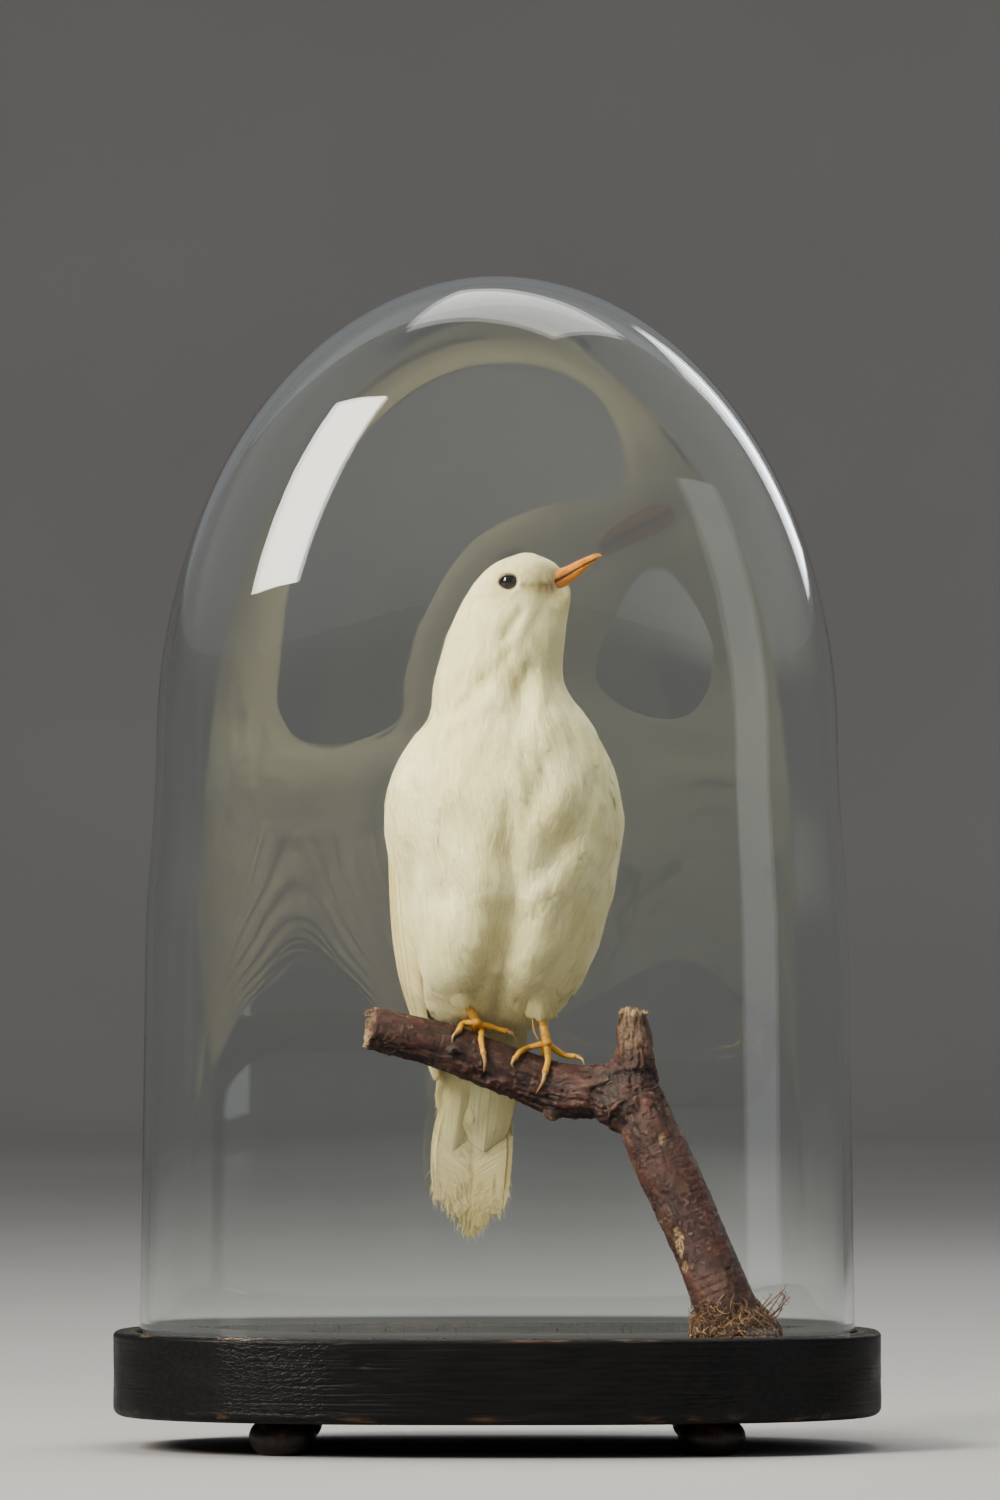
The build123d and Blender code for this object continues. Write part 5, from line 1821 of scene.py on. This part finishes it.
def bark_material():
    """Dark reddish-brown bark with pale bruises and buff broken wood, and painted shade: black pits, and
    darker crevices and wrinkle grooves.
    """
    m = Nodes("bark")
    fine = m.noise(m.place(), 900, 5, 0.62)
    broad = m.noise(m.place(), 70, 4)
    flecks = m.noise(m.place(), 2400, 2)
    reds = m.noise(m.place((1, 1, 0.6)), 130, 3)
    base = m.mix(m.level(broad, 0.35, 0.65), (0.042, 0.016, 0.012), (0.1, 0.04, 0.029))
    base = m.mix(m.level(reds, 0.52, 0.7, 0.0, 0.55), base, (0.125, 0.03, 0.021))
    base = m.mix(m.level(reds, 0.45, 0.3, 0.0, 0.6), base, (0.1, 0.055, 0.035))
    # Painted shade: near black in the crevices, where the bark's relief sinks.
    base = m.mix(m.level(m.attribute("ridge"), -0.7, 0.25, 0.9, 0.0), base, (0.012, 0.006, 0.005))
    base = m.mix(m.level(m.attribute("ridge"), 0.35, 1.0, 0.0, 0.5), base, (0.19, 0.085, 0.055))
    base = m.mix(m.level(fine, 0.54, 0.75, 0.0, 0.55), base, (0.23, 0.12, 0.08))
    base = m.mix(m.level(flecks, 0.7, 0.75, 0.0, 0.75), base, (0.45, 0.36, 0.27))
    pale = m.times(m.attribute("pale"), m.level(fine, 0.4, 0.54, 0.1, 0.9))
    base = m.mix(pale, base, (0.46, 0.3, 0.16))
    # Painted shade: the pits darkened near black.
    base = m.mix(m.attribute("hollow"), base, (0.012, 0.008, 0.006))
    wood = m.mix(m.level(fine, 0.35, 0.65), (0.24, 0.13, 0.06), (0.56, 0.4, 0.22))
    base = m.mix(m.times(m.attribute("cut"), m.level(reds, 0.62, 0.42, 0.25, 1.0)), base, wood)
    lengthwise = m.add(
        "ShaderNodeCombineXYZ", X=m.attribute("turn_x"), Y=m.attribute("turn_y"),
        Z=m.times(m.attribute("run"), 0.14),
    ).outputs[0]
    wrinkles = m.noise(lengthwise, 0.6, 4, 0.55)
    warts = m.noise(m.place(), 420, 2, 0.4)
    # Painted shade: darker in the grooves of the wrinkles.
    base = m.mix(m.level(wrinkles, 0.45, 0.34, 0.0, 0.4), base, (0.02, 0.009, 0.007))
    base = m.mix(m.level(warts, 0.62, 0.72, 0.0, 0.45), base, (0.2, 0.1, 0.07))
    height = m.plus(m.times(fine, 0.6), m.times(wrinkles, 0.8))
    height = m.plus(height, m.times(m.level(warts, 0.58, 0.74), 0.9))
    rough = m.level(fine, 0.3, 0.7, 0.48, 0.8)
    return m.finish(Base_Color=base, Roughness=rough, Normal=m.bump(height, 0.5, 0.0006))


def moss_material():
    """Dried golden-brown moss."""
    m = Nodes("dried_moss")
    fine = m.noise(m.place(), 1500, 3)
    tone = m.attribute("tone")
    brown, tan, straw = (0.15, 0.07, 0.03), (0.3, 0.18, 0.085), (0.48, 0.33, 0.17)
    base = m.ramp(tone, (0.0, (0.05, 0.024, 0.014)), (0.4, brown), (0.75, tan), (1.0, straw))
    base = m.mix(m.level(fine, 0.4, 0.7, 0.0, 0.5), base, (0.1, 0.05, 0.02))
    rough = m.level(fine, 0.3, 0.7, 0.65, 0.9)
    return m.finish(Base_Color=base, Roughness=rough, Normal=m.bump(fine, 0.5, 0.0002))


def horn_material(name, bright, deep, end):
    """Horn: a warm translucent-looking coat with lengthwise streaks, deeper at the root."""
    m = Nodes(name)
    streaks = m.noise(m.place((0.35, 1, 0.6)), 1300, 4)
    patches = m.noise(m.place(), 260, 3)
    base = m.mix(m.level(patches, 0.35, 0.68), bright, deep)
    base = m.mix(m.level(streaks, 0.5, 0.75, 0.0, 0.45), base, end)
    base = m.mix(m.times(m.attribute("stain"), 0.55), base, (0.33, 0.1, 0.025))
    # On the bill the dark values are painted shade: the nostril slit and the seam between the mandibles.
    base = m.mix(m.attribute("dark"), base, (0.05, 0.02, 0.01))
    rough = m.level(streaks, 0.3, 0.7, 0.32, 0.5)
    return m.finish(
        Base_Color=base, Roughness=rough, Normal=m.bump(streaks, 0.3, 0.00015), Coat_Weight=0.25,
        Subsurface_Weight=0.12, Subsurface_Scale=0.001,
    )


def leg_material():
    """Yellow-orange scaly leg skin, darker in the lines between the scales."""
    m = Nodes("scaly_leg_skin")
    fine = m.noise(m.place(), 1500, 3)
    patches = m.noise(m.place(), 170, 3)
    scales = m.cells(m.place(), 1150, "DISTANCE_TO_EDGE")
    base = m.mix(m.level(patches, 0.35, 0.68), (0.66, 0.36, 0.045), (0.46, 0.2, 0.03))
    base = m.mix(m.level(fine, 0.5, 0.75, 0.0, 0.5), base, (0.78, 0.52, 0.14))
    # Darker in the lines between the scales.
    base = m.mix(m.level(scales, 0.0, 0.1, 0.35, 0.0), base, (0.2, 0.08, 0.015))
    height = m.plus(m.times(m.level(scales, 0.0, 0.2), 0.4), m.times(fine, 0.4))
    rough = m.level(fine, 0.3, 0.7, 0.38, 0.6)
    return m.finish(Base_Color=base, Roughness=rough, Normal=m.bump(height, 0.5, 0.0002))


def eye_material():
    """A black glass eye with a very dark brown iris."""
    m = Nodes("black_glass_eye")
    fine = m.noise(m.place(), 700, 3)
    base = m.mix(m.level(fine, 0.3, 0.7), (0.004, 0.003, 0.003), (0.02, 0.011, 0.007))
    rough = m.level(fine, 0.3, 0.7, 0.06, 0.12)
    return m.finish(Base_Color=base, Roughness=rough, Coat_Weight=1.0, Coat_Roughness=0.02)


def steel_material():
    """Dull iron wire and screw, with rust specks."""
    m = Nodes("iron_wire")
    rust = m.noise(m.place(), 500, 4)
    drawn = m.noise(m.place((1, 1, 0.1)), 2600, 2)
    base = m.mix(m.level(rust, 0.5, 0.7), (0.36, 0.35, 0.34), (0.18, 0.07, 0.03))
    rough = m.level(rust, 0.3, 0.7, 0.35, 0.75)
    return m.finish(Base_Color=base, Roughness=rough, Normal=m.bump(drawn, 0.3, 0.0001), Metallic=0.9)


def wool_material():
    """Bound wood wool inside the mount."""
    m = Nodes("wood_wool")
    strands = m.wave(m.place((1, 0.6, 0.4)), 260, 14.0)
    fine = m.noise(m.place(), 900, 4)
    base = m.mix(strands, (0.32, 0.21, 0.1), (0.58, 0.44, 0.25))
    height = m.plus(strands, fine)
    rough = m.level(fine, 0.3, 0.7, 0.7, 0.95)
    return m.finish(Base_Color=base, Roughness=rough, Normal=m.bump(height, 0.8, 0.0008))


def bone_material():
    """Cleaned bone of the skull."""
    m = Nodes("skull_bone")
    pores = m.cells(m.place(), 1300)
    stain = m.noise(m.place(), 160, 4)
    base = m.mix(m.level(stain, 0.35, 0.7), (0.66, 0.58, 0.42), (0.48, 0.36, 0.2))
    rough = m.level(stain, 0.3, 0.7, 0.45, 0.65)
    return m.finish(Base_Color=base, Roughness=rough, Normal=m.bump(pores, 0.4, 0.0003))


def floor_material():
    """A plain pale studio floor."""
    m = Nodes("studio_floor")
    cloud = m.noise(m.place(), 1.6, 3)
    grain = m.noise(m.place(), 500, 2)
    base = m.mix(m.level(cloud, 0.3, 0.7), (0.5, 0.49, 0.475), (0.54, 0.53, 0.515))
    return m.finish(Base_Color=base, Roughness=m.level(grain, 0.3, 0.7, 0.75, 0.9))


# ---- Put it together -------------------------------------------------------------------------

ivory = feather_material("ivory_body_feathers", (0.84, 0.775, 0.47), (0.74, 0.66, 0.34), True, 0.25, 0.62)
vane = feather_material("ivory_flight_feathers", (0.83, 0.745, 0.45), (0.72, 0.62, 0.31), False, 0.2, 0.52)
down = skin_material()
skin_piece, skin_points, skin_quads, skin_surface = bird_skin(down)
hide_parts("plumage")
dress_body(skin_points, skin_quads, skin_surface, ivory)
leg_tufts(skin_surface, ivory)
loose_barbs(skin_surface, skin_points, skin_quads, down)
for side in ("right", "left"):
    wing(side, skin_surface, vane, ivory)
tail(vane, ivory)
for side in ("right", "left"):
    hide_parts(f"wing_coverts_{side}")
    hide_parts(f"wing_secondaries_{side}")
    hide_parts(f"wing_primaries_{side}")
    blades = [f"tail_feather_{side}_{rank}" for rank in range(1, 7)]
    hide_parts(*blades)

lid = feather_material("eyelid_feathers", (0.6, 0.47, 0.27), (0.42, 0.3, 0.14), True, 0.2, 0.6)
eyes(eye_material(), lid)
bill(horn_material("orange_bill_horn", (0.74, 0.29, 0.018), (0.5, 0.16, 0.008), (0.8, 0.42, 0.07)))
branch(bark_material())
claw_horn = horn_material("pale_claw_horn", (0.46, 0.28, 0.1), (0.3, 0.16, 0.06), (0.58, 0.42, 0.22))
legs(leg_material(), claw_horn)
moss(moss_material())
board(ebonised_material())
shade(glass_material())

carried = {
    foot_material(): ["foot_front_left", "foot_front_right", "foot_rear_left", "foot_rear_right"],
    steel_material(): ["branch_screw", "neck_wire", "tail_wire", "leg_wire_left", "leg_wire_right"],
    wool_material(): ["body_form", "neck_wrap"],
    bone_material(): ["skull"],
}
for material, node_names in carried.items():
    for node_name in node_names:
        node = bpy.data.objects[node_name]
        node.data.materials.clear()
        node.data.materials.append(material)


# ---- Studio ----------------------------------------------------------------------------------


def studio():
    """A pale floor that curves up into a wall all round, so every side has the same plain ground."""
    columns = 96
    turn = full_turn(columns)
    flat, bend = 5.5, 1.6
    profile = [(0.02, 0.0), (1.0, 0.0), (2.4, 0.0), (4.0, 0.0), (flat, 0.0)]
    for angle in np.radians(np.linspace(-85, 0, 18)):
        profile.append((flat + bend * math.cos(angle), bend + bend * math.sin(angle)))
    circle = np.column_stack([np.cos(turn), np.sin(turn), np.zeros(columns)])
    points = [1000 * (reach * circle + (0, 0, height)) for reach, height in profile]
    faces = [grid_faces(len(profile), columns, wrap=True), np.arange(columns)[None, ::-1]]
    return add_mesh("studio_floor", np.vstack(points), faces, floor_material())


def soft_light(name, place, size, power, warmth):
    """A rectangular soft light that faces the object's middle."""
    lamp = bpy.data.lights.new(name, "AREA")
    lamp.shape = "RECTANGLE"
    lamp.size, lamp.size_y = size
    lamp.energy = power
    lamp.color = warmth
    holder = bpy.data.objects.new(name, lamp)
    holder.location = place
    facing = Vector((0, 0, 0.22)) - Vector(place)
    holder.rotation_euler = facing.to_track_quat("-Z", "Y").to_euler()
    bpy.context.scene.collection.objects.link(holder)


floor = studio()
warm, mild, cool = (1.0, 0.955, 0.88), (1.0, 0.98, 0.95), (0.95, 0.97, 1.0)
soft_light("key", (-1.55, -1.25, 1.55), (0.8, 1.3), 68, warm)
soft_light("fill", (1.9, -1.2, 0.8), (0.7, 1.6), 3, cool)
soft_light("top", (0.1, 0.2, 1.9), (1.2, 1.0), 12, mild)
soft_light("rear", (1.3, 1.5, 1.3), (0.7, 1.2), 8, cool)

scene = bpy.context.scene
world = bpy.data.worlds.new("studio")
world.use_nodes = True
sky = world.node_tree.nodes["Background"].inputs
sky["Color"].default_value = (0.72, 0.73, 0.75, 1)
sky["Strength"].default_value = 0.27
scene.world = world
scene.view_settings.view_transform = "AgX"
scene.view_settings.look = "AgX - Medium High Contrast"

eye_level, aim_height, viewing_distance = 0.176, 0.251, 3.2
lens = bpy.data.cameras.new("camera")
lens.lens = 213
lens.sensor_width = 36
viewer = bpy.data.objects.new("camera", lens)
viewer.location = (0.001, -viewing_distance, eye_level)
facing = Vector((0.001, 0, aim_height)) - viewer.location
viewer.rotation_euler = facing.to_track_quat("-Z", "Y").to_euler()
scene.collection.objects.link(viewer)
scene.camera = viewer
